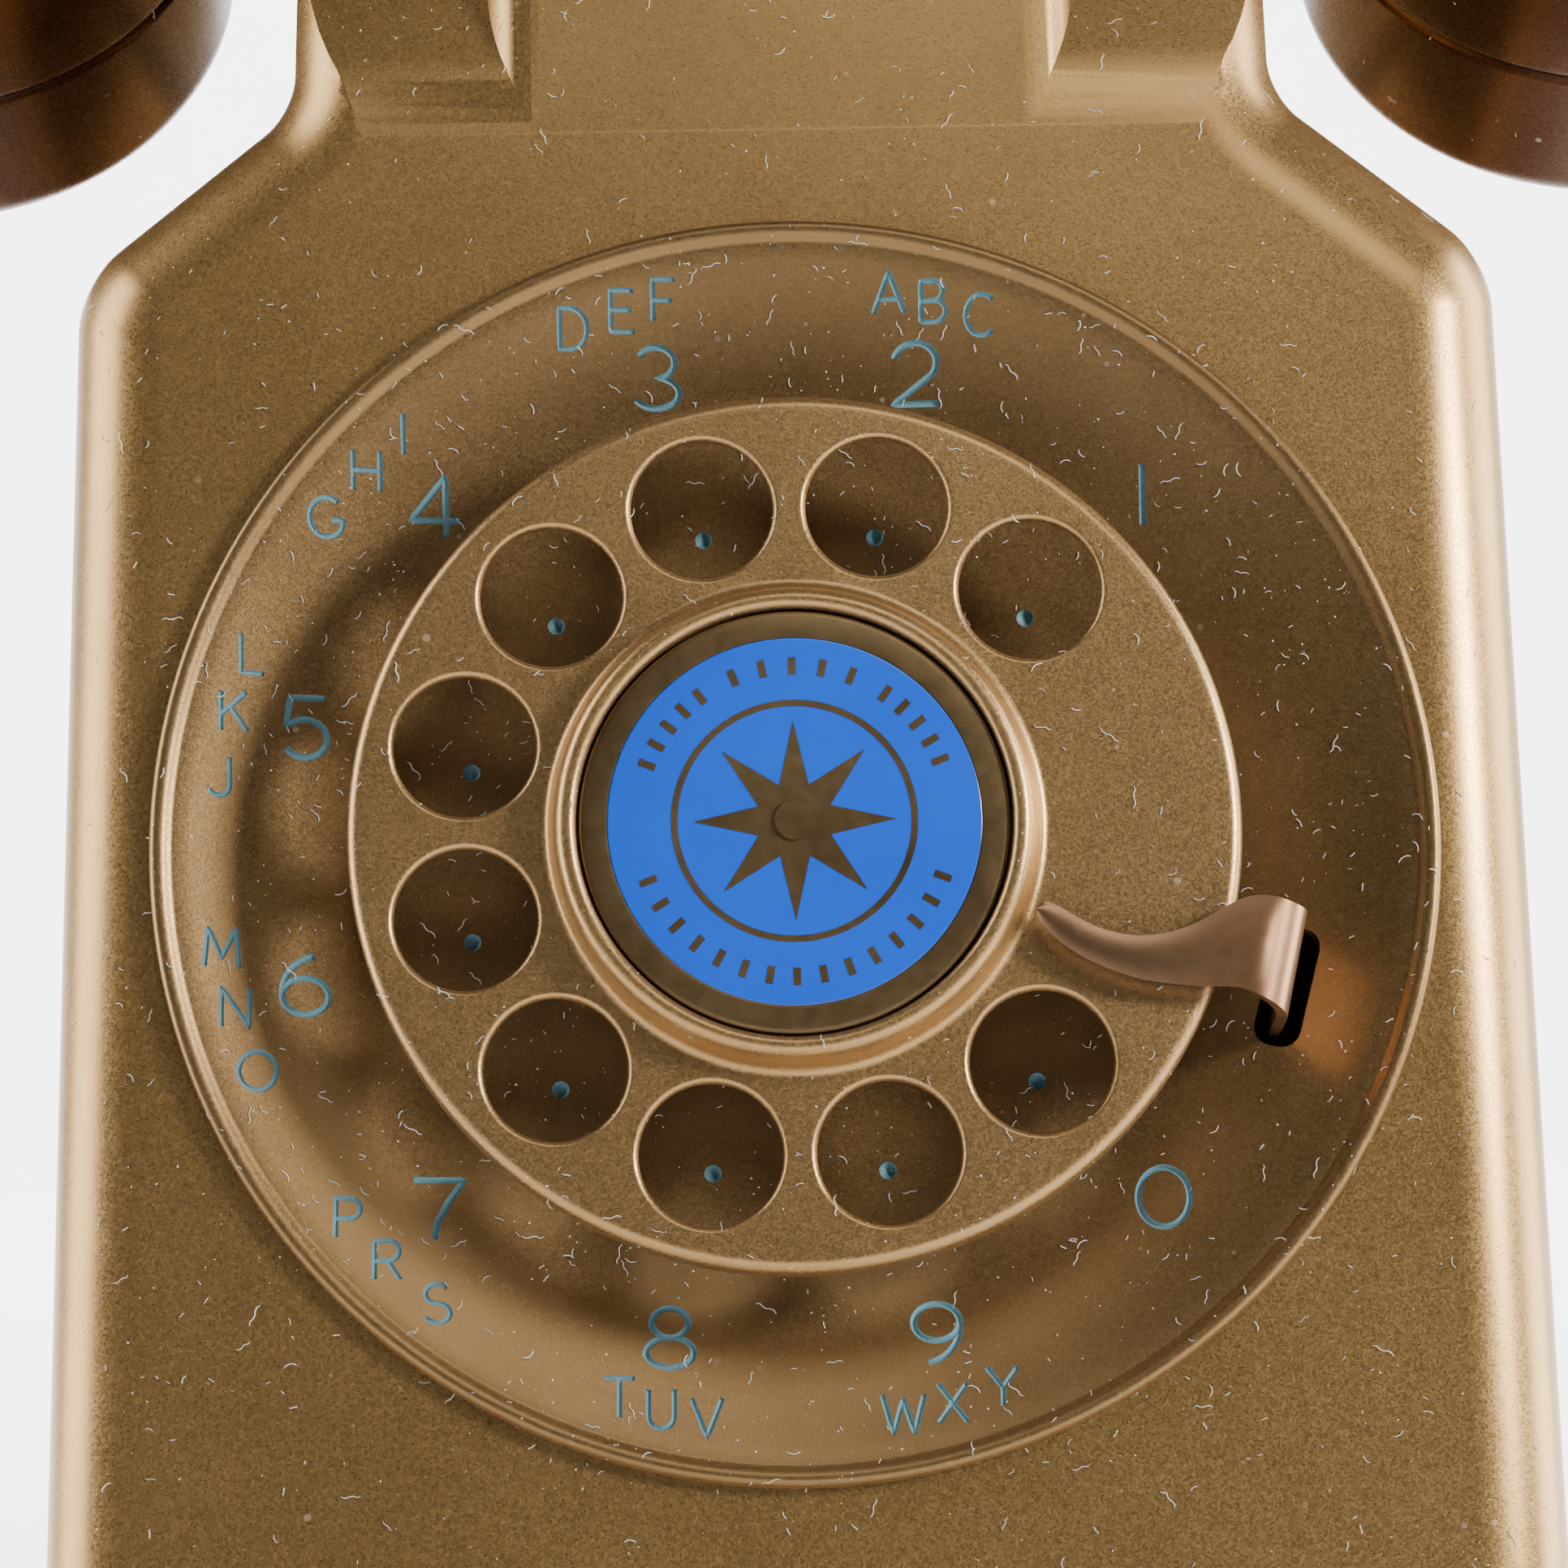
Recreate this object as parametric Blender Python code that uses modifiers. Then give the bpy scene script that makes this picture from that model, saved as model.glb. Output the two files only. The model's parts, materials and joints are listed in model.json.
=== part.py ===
"""Rotary wall telephone: a housing on a backplate, with the dial, ringer, network and hook switch
inside it, and a handset lying across the cradle. Metres, +Z up, the wall is the plane y = 0."""

import math

import bmesh
import bpy
from mathutils import Matrix, Vector

# Housing, seen from the front
halfWidth = 0.065
shoulderHalf = 0.0629
shoulderZ = 0.0254
neckHalf = 0.0425
neckFootHalf = 0.0438
neckFootZ = 0.0407
bottomZ = -0.097
topZ = 0.097
wall = 0.0028
rearY = -0.0005

# Dial: centre of the number ring's rim plane, on a face leaning back by tilt
tilt = math.radians(12)
dialY = -0.099
dialZ = -0.025
ringRadius = 0.0555
ringProud = 0.0015
plateDepth = 0.006
wheelRadius = 0.0381
wheelTop = 0.005
wheelThick = 0.0024
holeOrbit = 0.029
holeRadius = 0.0061
hubRadius = 0.0207
hubRise = 0.0033
firstHole = math.radians(45)
holePitch = math.radians(30)

# Cradle
plateauHalf = 0.026
foldZ = 0.0408
troughZ = 0.0721
troughFront = -0.0722
troughRear = -0.0450
lipZ = 0.0790

# Handset: cup axis leans down towards the wall by lean
lean = math.radians(33)
cupX = 0.0812
cupRadius = 0.0285
capFaceX = -0.0013
capFaceY = -0.0183
capFaceZ = 0.0584
handleReach = 0.0524
gripHalf = 0.0120
gripWide = 0.0140
capTall = 0.0180
glandZ = 0.0229

# Places shared by more than one piece
screwOrbit = 0.0200
stopSlotSpot = (0.0432, -0.0152, -0.004)
stopTurn = math.radians(-14)
housingScrewX = 0.045
housingScrewY = -0.012
cordExit = (-0.030, -0.030, bottomZ)
volumeSpot = (0, -0.0400, -0.0915)
gongX = 0.0255
gongZ = -0.0640
clapperZ = -0.0440
foldFront = -0.0640
alongX = (0, math.pi / 2, 0)
alongY = (math.pi / 2, 0, 0)
sideOn = (math.pi / 2, 0, math.pi / 2)

# Gap kept between pieces that touch
gap = 0.0003

for old in list(bpy.data.objects):
    bpy.data.objects.remove(old, do_unlink=True)

phone = bpy.data.collections.new("rotary_wall_telephone")
bpy.context.scene.collection.children.link(phone)
cutters = bpy.data.collections.new("cutters")
bpy.context.scene.collection.children.link(cutters)


def makeMaterial(name, colour, roughness, metallic):
    material = bpy.data.materials.new(name)
    material.use_nodes = True
    shader = material.node_tree.nodes["Principled BSDF"]
    shader.inputs["Base Color"].default_value = (*colour, 1)
    shader.inputs["Roughness"].default_value = roughness
    shader.inputs["Metallic"].default_value = metallic
    material.diffuse_color = (*colour, 1)
    return material


paint = makeMaterial("gold_paint", (0.42, 0.27, 0.12), 0.35, 0.8)
darkPaint = makeMaterial("bronze_paint", (0.30, 0.17, 0.08), 0.35, 0.8)
brass = makeMaterial("brass", (0.60, 0.42, 0.16), 0.3, 1.0)
steel = makeMaterial("steel", (0.55, 0.55, 0.54), 0.35, 1.0)
copper = makeMaterial("copper", (0.55, 0.25, 0.12), 0.4, 1.0)
blueEnamel = makeMaterial("blue_enamel", (0.03, 0.12, 0.48), 0.15, 0.0)
blackPlastic = makeMaterial("black_plastic", (0.03, 0.03, 0.03), 0.5, 0.0)
rubber = makeMaterial("rubber", (0.02, 0.02, 0.02), 0.8, 0.0)

# The dial's own frame: x to the right, y up the face, z out of the face
dialFrame = bpy.data.objects.new("dial_axis", None)
phone.objects.link(dialFrame)
dialFrame.location = (0, dialY, dialZ)
dialFrame.rotation_euler = (math.pi / 2 - tilt, 0, 0)

# The handset's frame: z runs from the cap faces to the handle's back, x along the handle
handsetFrame = bpy.data.objects.new("handset_axis", None)
phone.objects.link(handsetFrame)
handsetFrame.location = (capFaceX, capFaceY, capFaceZ)
handsetFrame.rotation_euler = (math.pi / 2 - lean, 0, 0)


def place(thing, material, parent=None, spot=(0, 0, 0), turn=(0, 0, 0), owner=phone):
    """Gives a piece its material, its parent and its place under that parent."""
    for collection in list(thing.users_collection):
        collection.objects.unlink(thing)
    owner.objects.link(thing)
    thing.parent = parent
    thing.location = spot
    thing.rotation_euler = turn
    if material and hasattr(thing.data, "materials"):
        thing.data.materials.clear()
        thing.data.materials.append(material)
    return thing


def asCutter(thing):
    for collection in list(thing.users_collection):
        collection.objects.unlink(thing)
    cutters.objects.link(thing)
    thing.hide_render = True
    thing.display_type = "WIRE"
    return thing


def smooth(thing, degrees=35):
    thing.data.shade_smooth()
    thing.data.set_sharp_from_angle(angle=math.radians(degrees))
    return thing


def box(name, size, material=None, parent=None, spot=(0, 0, 0), turn=(0, 0, 0)):
    bpy.ops.mesh.primitive_cube_add(size=1)
    thing = bpy.context.object
    thing.name = name
    thing.data.transform(Matrix.Diagonal((*size, 1)))
    return place(thing, material, parent, spot, turn)


def rod(name, radius, length, sides=16, material=None, parent=None, spot=(0, 0, 0), turn=(0, 0, 0)):
    bpy.ops.mesh.primitive_cylinder_add(radius=radius, depth=length, vertices=sides)
    thing = bpy.context.object
    thing.name = name
    return place(smooth(thing), material, parent, spot, turn)


def turned(name, profile, steps=32, material=None, parent=None, spot=(0, 0, 0), turn=(0, 0, 0)):
    """A turned shape from (radius, height) pairs: from axis to axis, or a loop that ends where it starts."""
    loop = profile[0] == profile[-1]
    area = sum(a[0] * b[1] - b[0] * a[1] for a, b in zip(profile, profile[1:] + profile[:1]))
    dots = [(r, 0, z) for r, z in (profile[::-1] if area > 0 else profile)]
    if loop:
        dots.pop()
    edges = [(i, (i + 1) % len(dots)) for i in range(len(dots) if loop else len(dots) - 1)]
    mesh = bpy.data.meshes.new(name)
    mesh.from_pydata(dots, edges, [])
    thing = bpy.data.objects.new(name, mesh)
    place(thing, material, parent, spot, turn)
    screw = thing.modifiers.new("turn", "SCREW")
    screw.axis = "Z"
    screw.steps = steps
    screw.render_steps = steps
    screw.use_merge_vertices = True
    screw.merge_threshold = 0.00001
    screw.use_normal_calculate = False
    return thing


def outline(name, points, thick, material=None, parent=None, spot=(0, 0, 0), turn=(0, 0, 0)):
    """A flat outline in x and y, thickened both ways along z and turned into a mesh."""
    curve = bpy.data.curves.new(name, "CURVE")
    curve.dimensions = "2D"
    curve.fill_mode = "BOTH"
    curve.extrude = thick / 2
    spline = curve.splines.new("POLY")
    spline.points.add(len(points) - 1)
    for dot, (x, y) in zip(spline.points, points):
        dot.co = (x, y, 0, 1)
    spline.use_cyclic_u = True
    return meshOf(curve, name, material, parent, spot, turn)


def wire(name, points, radius, material=None, parent=None, spot=(0, 0, 0), turn=(0, 0, 0), sides=2):
    """A round wire through the points, with its ends capped."""
    curve = bpy.data.curves.new(name, "CURVE")
    curve.dimensions = "3D"
    curve.bevel_depth = radius
    curve.bevel_resolution = sides
    curve.use_fill_caps = True
    spline = curve.splines.new("POLY")
    spline.points.add(len(points) - 1)
    for dot, spotOn in zip(spline.points, points):
        dot.co = (*spotOn, 1)
    return smooth(meshOf(curve, name, material, parent, spot, turn), 50)


def meshOf(curve, name, material, parent, spot, turn):
    holder = bpy.data.objects.new(name + "_curve", curve)
    phone.objects.link(holder)
    ready = holder.evaluated_get(bpy.context.evaluated_depsgraph_get())
    mesh = bpy.data.meshes.new_from_object(ready)
    mesh.name = name
    bpy.data.objects.remove(holder, do_unlink=True)
    work = bmesh.new()
    work.from_mesh(mesh)
    bmesh.ops.remove_doubles(work, verts=work.verts, dist=0.000005)
    bmesh.ops.dissolve_limit(work, angle_limit=0.002, verts=work.verts, edges=work.edges)
    bmesh.ops.recalc_face_normals(work, faces=work.faces)
    work.to_mesh(mesh)
    work.free()
    thing = bpy.data.objects.new(name, mesh)
    return place(thing, material, parent, spot, turn)


def boolean(thing, other, how="DIFFERENCE", apply=False):
    """Cuts, joins or intersects with another object; apply bakes it into the mesh."""
    asCutter(other)
    step = thing.modifiers.new(other.name, "BOOLEAN")
    step.operation = how
    step.object = other
    step.solver = "EXACT"
    if apply:
        bake(thing)
    return thing


def bake(thing):
    """Turns the modifiers' result into the object's own mesh, in its own coordinates."""
    bpy.context.view_layer.update()
    ready = thing.evaluated_get(bpy.context.evaluated_depsgraph_get())
    mesh = bpy.data.meshes.new_from_object(ready)
    thing.modifiers.clear()
    thing.data = mesh
    work = bmesh.new()
    work.from_mesh(mesh)
    bmesh.ops.dissolve_limit(work, angle_limit=0.002, verts=work.verts, edges=work.edges)
    work.to_mesh(mesh)
    work.free()
    return thing


def bevel(thing, width, segments=2, degrees=40, apply=False):
    step = thing.modifiers.new("round", "BEVEL")
    step.width = width
    step.segments = segments
    step.limit_method = "ANGLE"
    step.angle_limit = math.radians(degrees)
    if apply:
        bake(thing)
    return thing


def rounded(corners):
    """An outline from (x, y, radius, steps) corners, each turned into an arc."""
    dots = []
    count = len(corners)
    for i, (x, y, radius, steps) in enumerate(corners):
        here = Vector((x, y))
        back = (Vector(corners[i - 1][:2]) - here).normalized()
        ahead = (Vector(corners[(i + 1) % count][:2]) - here).normalized()
        if radius <= 0:
            dots.append((x, y))
            continue
        half = back.angle(ahead) / 2
        run = radius / math.tan(half)
        centre = here + (back + ahead).normalized() * (radius / math.sin(half))
        start = here + back * run - centre
        sweep = (here + ahead * run - centre).angle_signed(start)
        for k in range(steps + 1):
            part = Matrix.Rotation(sweep * k / steps, 2) @ start
            dots.append((centre.x + part.x, centre.y + part.y))
    return dots


# Housing ---------------------------------------------------------------------------------------

def frontOutline(inset, steps):
    """The housing seen from the front, drawn in by inset."""
    half = [
        (halfWidth - inset, bottomZ + inset, max(0.010 - inset, 0.004)),
        (shoulderHalf - inset, shoulderZ - inset * 0.3, 0.007),
        (neckFootHalf - inset, neckFootZ - inset * 0.6, 0.005 + inset),
        (neckHalf - inset, topZ - inset, max(0.007 - inset, 0.004)),
    ]
    right = [(x, z, r, steps) for x, z, r in half]
    left = [(-x, z, r, steps) for x, z, r in reversed(half)]
    return rounded(right + left)


def faceY(z):
    """How far forward the housing's leaning face is at a height."""
    return dialY + ringProud * math.cos(tilt) + (z - dialZ) * math.tan(tilt)


def sideBlock(name, inset, back):
    """The housing's side profile, drawn in by inset and made wider than the housing."""
    low = bottomZ + inset
    high = topZ - inset
    front = [(back, low), (faceY(low) + inset, low), (faceY(high) + inset, high), (back, high)]
    block = outline(name, front, 0.2)
    block.rotation_euler = sideOn
    return block


def housingSolid(name, inset, back, steps, roundWidth, roundSteps):
    """One closed solid of the housing's outer form, or of its hollow, open past the wall plane."""
    body = outline(name, frontOutline(inset, steps), 0.3)
    body.rotation_euler = alongY
    boolean(body, sideBlock(name + "_profile", inset, back), "INTERSECT", apply=True)
    bevel(body, roundWidth, roundSteps, 40, apply=True)
    return body


def cradleCutters(name, inset):
    """The trough, and the folds beside the plateau, that shape the neck."""
    over = topZ + 0.02
    rear = troughRear + inset
    front = troughFront - inset
    floorZ = troughZ - inset
    trough = outline(name + "_trough", rounded([
        (rear, over, 0, 1), (rear, floorZ, 0.006, 3), (front, floorZ, 0.003, 2),
        (front - 0.0016, lipZ - inset, 0.0, 2), (-0.14, lipZ - inset, 0, 1), (-0.14, over, 0, 1)]), 0.2)
    trough.rotation_euler = sideOn
    folds = []
    for side in (-1, 1):
        low = foldZ - inset * 0.6
        fold = outline(name + "_fold", [
            (faceY(low) + inset, low), (foldFront + inset, floorZ + 0.002), (foldFront + inset, over),
            (-0.14, over), (-0.14, low)], 0.06)
        fold.rotation_euler = sideOn
        fold.location = (side * (plateauHalf - inset + 0.03), 0, 0)
        folds.append(fold)
    return [trough] + folds


def makeHousing():
    outer = housingSolid("housing", 0.0, 0.02, 5, 0.008, 4)
    for cutter in cradleCutters("cradle", 0.0):
        boolean(outer, cutter, apply=True)
    bevel(outer, 0.0018, 2, 42, apply=True)
    hollow = housingSolid("hollow", wall, 0.03, 3, 0.0055, 2)
    for cutter in cradleCutters("inner_cradle", wall):
        boolean(hollow, cutter, apply=True)
    boolean(outer, hollow)
    boolean(outer, box("behind", (0.3, 0.1, 0.4), spot=(0, rearY + 0.05, 0)))
    bore = rod("dial_opening", ringRadius - 0.0030, 0.03, 48, parent=dialFrame)
    boolean(outer, bore)
    boolean(outer, box("hook_slot", (0.0164, 0.0170, 0.020), spot=(0, -0.0595, troughZ)))
    boolean(outer, box("volume_slot", (0.0050, 0.0200, 0.012), spot=(0, -0.040, bottomZ)))
    for side in (-1, 1):
        rib = box("pin_rib", (0.0016, 0.0080, 0.0090), spot=(side * 0.0044, *volumeSpot[1:]))
        boolean(outer, rib, "UNION")
    boolean(outer, rod("pin_bore", 0.0013, 0.0200, 8, spot=volumeSpot, turn=alongX))
    for side in (-1, 1):
        spot = (side * housingScrewX, housingScrewY, bottomZ)
        boolean(outer, rod("screw_hole", 0.0021, 0.02, 10, spot=spot))
    boolean(outer, rod("cord_hole", 0.0044, 0.02, 14, spot=cordExit))
    place(outer, paint, None, outer.location, outer.rotation_euler)
    return outer


def makeBackplate():
    plate = outline("backplate", frontOutline(wall + 0.0006, 3), 0.0016)
    plate.rotation_euler = alongY
    plate.location = (0, -0.0008, 0)
    for z in (-0.0415, 0.0415):
        boolean(plate, rod("keyhole", 0.0047, 0.01, 16, spot=(0, 0, z), turn=alongY))
        boolean(plate, box("keyhole_slot", (0.0046, 0.01, 0.010), spot=(0, 0, z + 0.005)))
    boolean(plate, box("cable_way", (0.016, 0.01, 0.012), spot=(-0.034, 0, 0.0)))
    for side in (-1, 1):
        x = side * housingScrewX
        tab = box("screw_tab", (0.012, 0.0200, 0.0016), spot=(x, -0.0102, bottomZ + wall + 0.0026))
        boolean(plate, tab, "UNION")
        boolean(plate, rod("tab_hole", 0.0021, 0.02, 10, spot=(x, housingScrewY, bottomZ + wall)))
    place(plate, steel, None, plate.location, plate.rotation_euler)


def makeHousingFasteners():
    for side, name in ((-1, "left"), (1, "right")):
        profile = [(0, -0.0022), (0.0022, -0.0021), (0.0034, -0.0012), (0.0034, -0.0004), (0.0017, -0.0004),
                   (0.0017, 0.0072), (0, 0.0072)]
        spot = (side * housingScrewX, housingScrewY, bottomZ)
        turned("housing_screw_" + name, profile, 14, steel, None, spot)
    gland = [(0.0026, 0.0045), (0.0040, 0.0045), (0.0040, -0.0004), (0.0060, -0.0004), (0.0060, -0.0016),
             (0.0036, -0.0060), (0.0026, -0.0060), (0.0026, 0.0045)]
    turned("housing_cord_gland", gland, 20, rubber, None, cordExit)


# Dial ------------------------------------------------------------------------------------------

def makeNumberRing():
    rim = ringRadius
    profile = [
        (0.0130, -plateDepth), (0.0300, -plateDepth), (0.0370, -plateDepth + 0.0004), (0.0455, -0.0036),
        (0.0520, -0.0014), (0.0536, -0.0002), (0.0545, 0.0), (rim, -0.0006), (rim, -ringProud + gap),
        (0.0522, -ringProud + gap), (0.0520, -0.0040), (0.0455, -0.0056),
        (0.0370, -plateDepth - 0.0016), (0.0130, -plateDepth - 0.0016), (0.0130, -plateDepth)]
    ring = turned("number_ring", profile, 40, paint, dialFrame)
    slot = box("stop_slot", (0.0052, 0.0140, 0.02), parent=dialFrame, spot=stopSlotSpot,
               turn=(0, 0, stopTurn))
    boolean(ring, slot)
    for k in range(3):
        at = math.radians(90 + 120 * k)
        spot = (screwOrbit * math.cos(at), screwOrbit * math.sin(at), -plateDepth)
        boolean(ring, rod("ring_screw_hole", 0.0016, 0.02, 8, parent=dialFrame, spot=spot))
    return ring


def makeFingerWheel():
    top = wheelTop
    low = wheelTop - wheelThick
    profile = [
        (0.0045, top + 0.0002), (0.0186, top + 0.0002), (0.0186, top + hubRise), (0.0198, top + hubRise),
        (0.0203, top + 0.0010), (0.0213, top), (0.0374, top), (wheelRadius, top - 0.0010),
        (wheelRadius, low - 0.0008), (0.0370, low - 0.0008), (0.0366, low), (0.0045, low),
        (0.0045, top + 0.0002)]
    wheel = turned("finger_wheel", profile, 40, paint, dialFrame)
    for k in range(10):
        at = firstHole + k * holePitch
        spot = (holeOrbit * math.cos(at), holeOrbit * math.sin(at), top)
        boolean(wheel, rod("finger_hole", holeRadius, 0.02, 14, parent=dialFrame, spot=spot))
    return wheel


def makeMedallion():
    top = wheelTop
    rim = [(0.0160, top + 0.0026), (0.0164, top + 0.0030), (0.0178, top + 0.0030), (0.0183, top + 0.0026),
           (0.0183, top + 0.0005), (0.0160, top + 0.0005), (0.0160, top + 0.0026)]
    turned("medallion_ring", rim, 32, brass, dialFrame)
    disc = [(0, top + 0.0026), (0.0155, top + 0.0026), (0.0157, top + 0.0024), (0.0157, top + 0.0007),
            (0, top + 0.0007)]
    turned("medallion_disc", disc, 32, blueEnamel, dialFrame)


def makeFingerStop():
    """A bent strip: a tongue over the wheel, and a leg down through the ring's slot."""
    tongue = rounded([
        (0.0200, -0.0086, 0.0006, 2), (0.0280, -0.0116, 0.006, 3), (0.0345, -0.0098, 0.006, 3),
        (0.0440, -0.0080, 0.002, 3), (0.0408, -0.0215, 0.0015, 2), (0.0385, -0.0160, 0.003, 2),
        (0.0270, -0.0152, 0.005, 3)])
    blade = outline("finger_stop", tongue, 0.0010, darkPaint, dialFrame, (0, 0, wheelTop + 0.0020))
    leg = box("stop_leg", (0.0012, 0.0100, 0.0163), parent=dialFrame, spot=(0.0424, -0.0150, -0.0009),
              turn=(0, 0, stopTurn))
    boolean(blade, leg, "UNION")
    foot = box("stop_foot", (0.0100, 0.0070, 0.0012), parent=dialFrame, spot=(0.0380, -0.0136, -0.0084),
               turn=(0, 0, stopTurn))
    boolean(blade, foot, "UNION")
    return blade


def ringOfTeeth(name, radius, depth, count, thick, bore, material, spot):
    """A toothed wheel: the outline alternates between tip and root."""
    dots = []
    for k in range(count):
        for part, reach in ((0.0, -depth), (0.32, 0.0), (0.62, 0.0), (0.94, -depth)):
            at = 2 * math.pi * (k + part) / count
            dots.append(((radius + reach) * math.cos(at), (radius + reach) * math.sin(at)))
    gear = outline(name, dots, thick, material, dialFrame, spot)
    boolean(gear, rod(name + "_bore", bore, 0.03, 14, parent=dialFrame, spot=spot))
    return gear


def makeDialWorks():
    stepX = 0.0290
    frameZ = -0.0300
    frame = rod("dial_frame", 0.0400, 0.0016, 36, steel, dialFrame, (0, 0, frameZ))
    for k in range(3):
        at = math.radians(90 + 120 * k)
        post = rod("frame_post", 0.0032, 0.0218, 10, parent=dialFrame,
                   spot=(screwOrbit * math.cos(at), screwOrbit * math.sin(at), frameZ + 0.0109))
        boolean(frame, post, "UNION")
    boolean(frame, rod("frame_bore", 0.0035, 0.02, 14, parent=dialFrame, spot=(0, 0, frameZ)))
    boolean(frame, rod("pinion_bore", 0.0019, 0.02, 10, parent=dialFrame, spot=(-stepX, 0, frameZ)))
    for k in range(3):
        at = math.radians(90 + 120 * k)
        head = [(0, -0.0032), (0.0020, -0.0036), (0.0030, -0.0042), (0.0030, -0.0054), (0.0013, -0.0054),
                (0.0013, -0.0077), (0, -0.0077)]
        turned("dial_screw_" + str(k + 1), head, 12, steel, dialFrame,
               (screwOrbit * math.cos(at), screwOrbit * math.sin(at), 0))
    shaft = [(0, wheelTop + 0.0003), (0.0034, wheelTop + 0.0003), (0.0042, wheelTop - 0.0004),
             (0.0042, -0.0090), (0.0031, -0.0095), (0.0031, -0.0340), (0, -0.0340)]
    turned("main_shaft", shaft, 16, steel, dialFrame)
    ringOfTeeth("main_gear", 0.0165, 0.0014, 30, 0.0016, 0.0036, brass, (0, 0, -0.0120))
    coil = []
    turns = 3
    perTurn = 12
    for k in range(turns * perTurn + 1):
        at = 2 * math.pi * k / perTurn
        coil.append((0.0068 * math.cos(at), 0.0068 * math.sin(at), -0.0160 - 0.0024 * k / perTurn))
    wire("main_spring", coil, 0.0007, steel, dialFrame, sides=1)
    ringOfTeeth("pulse_cam", 0.0068, 0.0010, 8, 0.0014, 0.0017, blackPlastic, (-stepX, 0, -0.0258))
    arbor = [(0, -0.0090), (0.0014, -0.0090), (0.0014, -0.0340), (0, -0.0340)]
    turned("intermediate_shaft", arbor, 12, steel, dialFrame, (-stepX, 0, 0))
    ringOfTeeth("intermediate_gear", 0.0118, 0.0014, 20, 0.0016, 0.0017, brass, (-stepX, 0, -0.0120))
    makeGovernor(frameZ)


def makeGovernor(frameZ):
    base = (0.0, -0.0270)
    cup = [(0.0100, frameZ - 0.0100), (0.0112, frameZ - 0.0100), (0.0112, frameZ - 0.0012),
           (0.0014, frameZ - 0.0012), (0.0014, frameZ - 0.0022), (0.0100, frameZ - 0.0022),
           (0.0100, frameZ - 0.0100)]
    turned("governor_cup", cup, 24, brass, dialFrame, (*base, 0))
    axle = [(0, frameZ - 0.0024), (0.0011, frameZ - 0.0024), (0.0011, frameZ - 0.0098), (0, frameZ - 0.0098)]
    turned("governor_shaft", axle, 10, steel, dialFrame, (*base, 0))
    for side, name in ((-1, "left"), (1, "right")):
        weight = box("governor_weight_" + name, (0.0040, 0.0050, 0.0036), brass, dialFrame,
                     (base[0] + side * 0.0046, base[1], frameZ - 0.0060))
        bevel(weight, 0.0008, 1)


def makePulseContacts():
    for k, name in enumerate(("lower", "upper")):
        leaf = box("pulse_contact_" + name, (0.0040, 0.0210, 0.0004), copper, dialFrame,
                   (-0.0190, 0.0075, -0.0246 - 0.0030 * k))
        pip = rod("contact_pip", 0.0013, 0.0012, 8, parent=dialFrame,
                  spot=(-0.0190, 0.0150, -0.0246 - 0.0030 * k - (0.0006 if k == 0 else -0.0006)))
        boolean(leaf, pip, "UNION")


# Network, ringer and hook switch ----------------------------------------------------------------

def makeNetwork():
    block = box("network_block", (0.046, 0.026, 0.030), blackPlastic, None, (0.0060, -0.0160, 0.0160))
    bevel(block, 0.0015, 2)
    strip = box("terminal_strip", (0.040, 0.0030, 0.020), blackPlastic, None, (0.0060, -0.0308, 0.0160))
    for k in range(4):
        x = 0.0060 + 0.010 * (k - 1.5)
        boolean(strip, rod("strip_hole", 0.0014, 0.02, 8, spot=(x, -0.0308, 0.016), turn=alongY))
        head = [(0, 0.0042), (0.0026, 0.0038), (0.0030, 0.0030), (0.0030, 0.0019), (0.0011, 0.0019),
                (0.0011, -0.0012), (0, -0.0012)]
        turned("terminal_screw_" + str(k + 1), head, 12, brass, None, (x, -0.0308, 0.0160), alongY)


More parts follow.
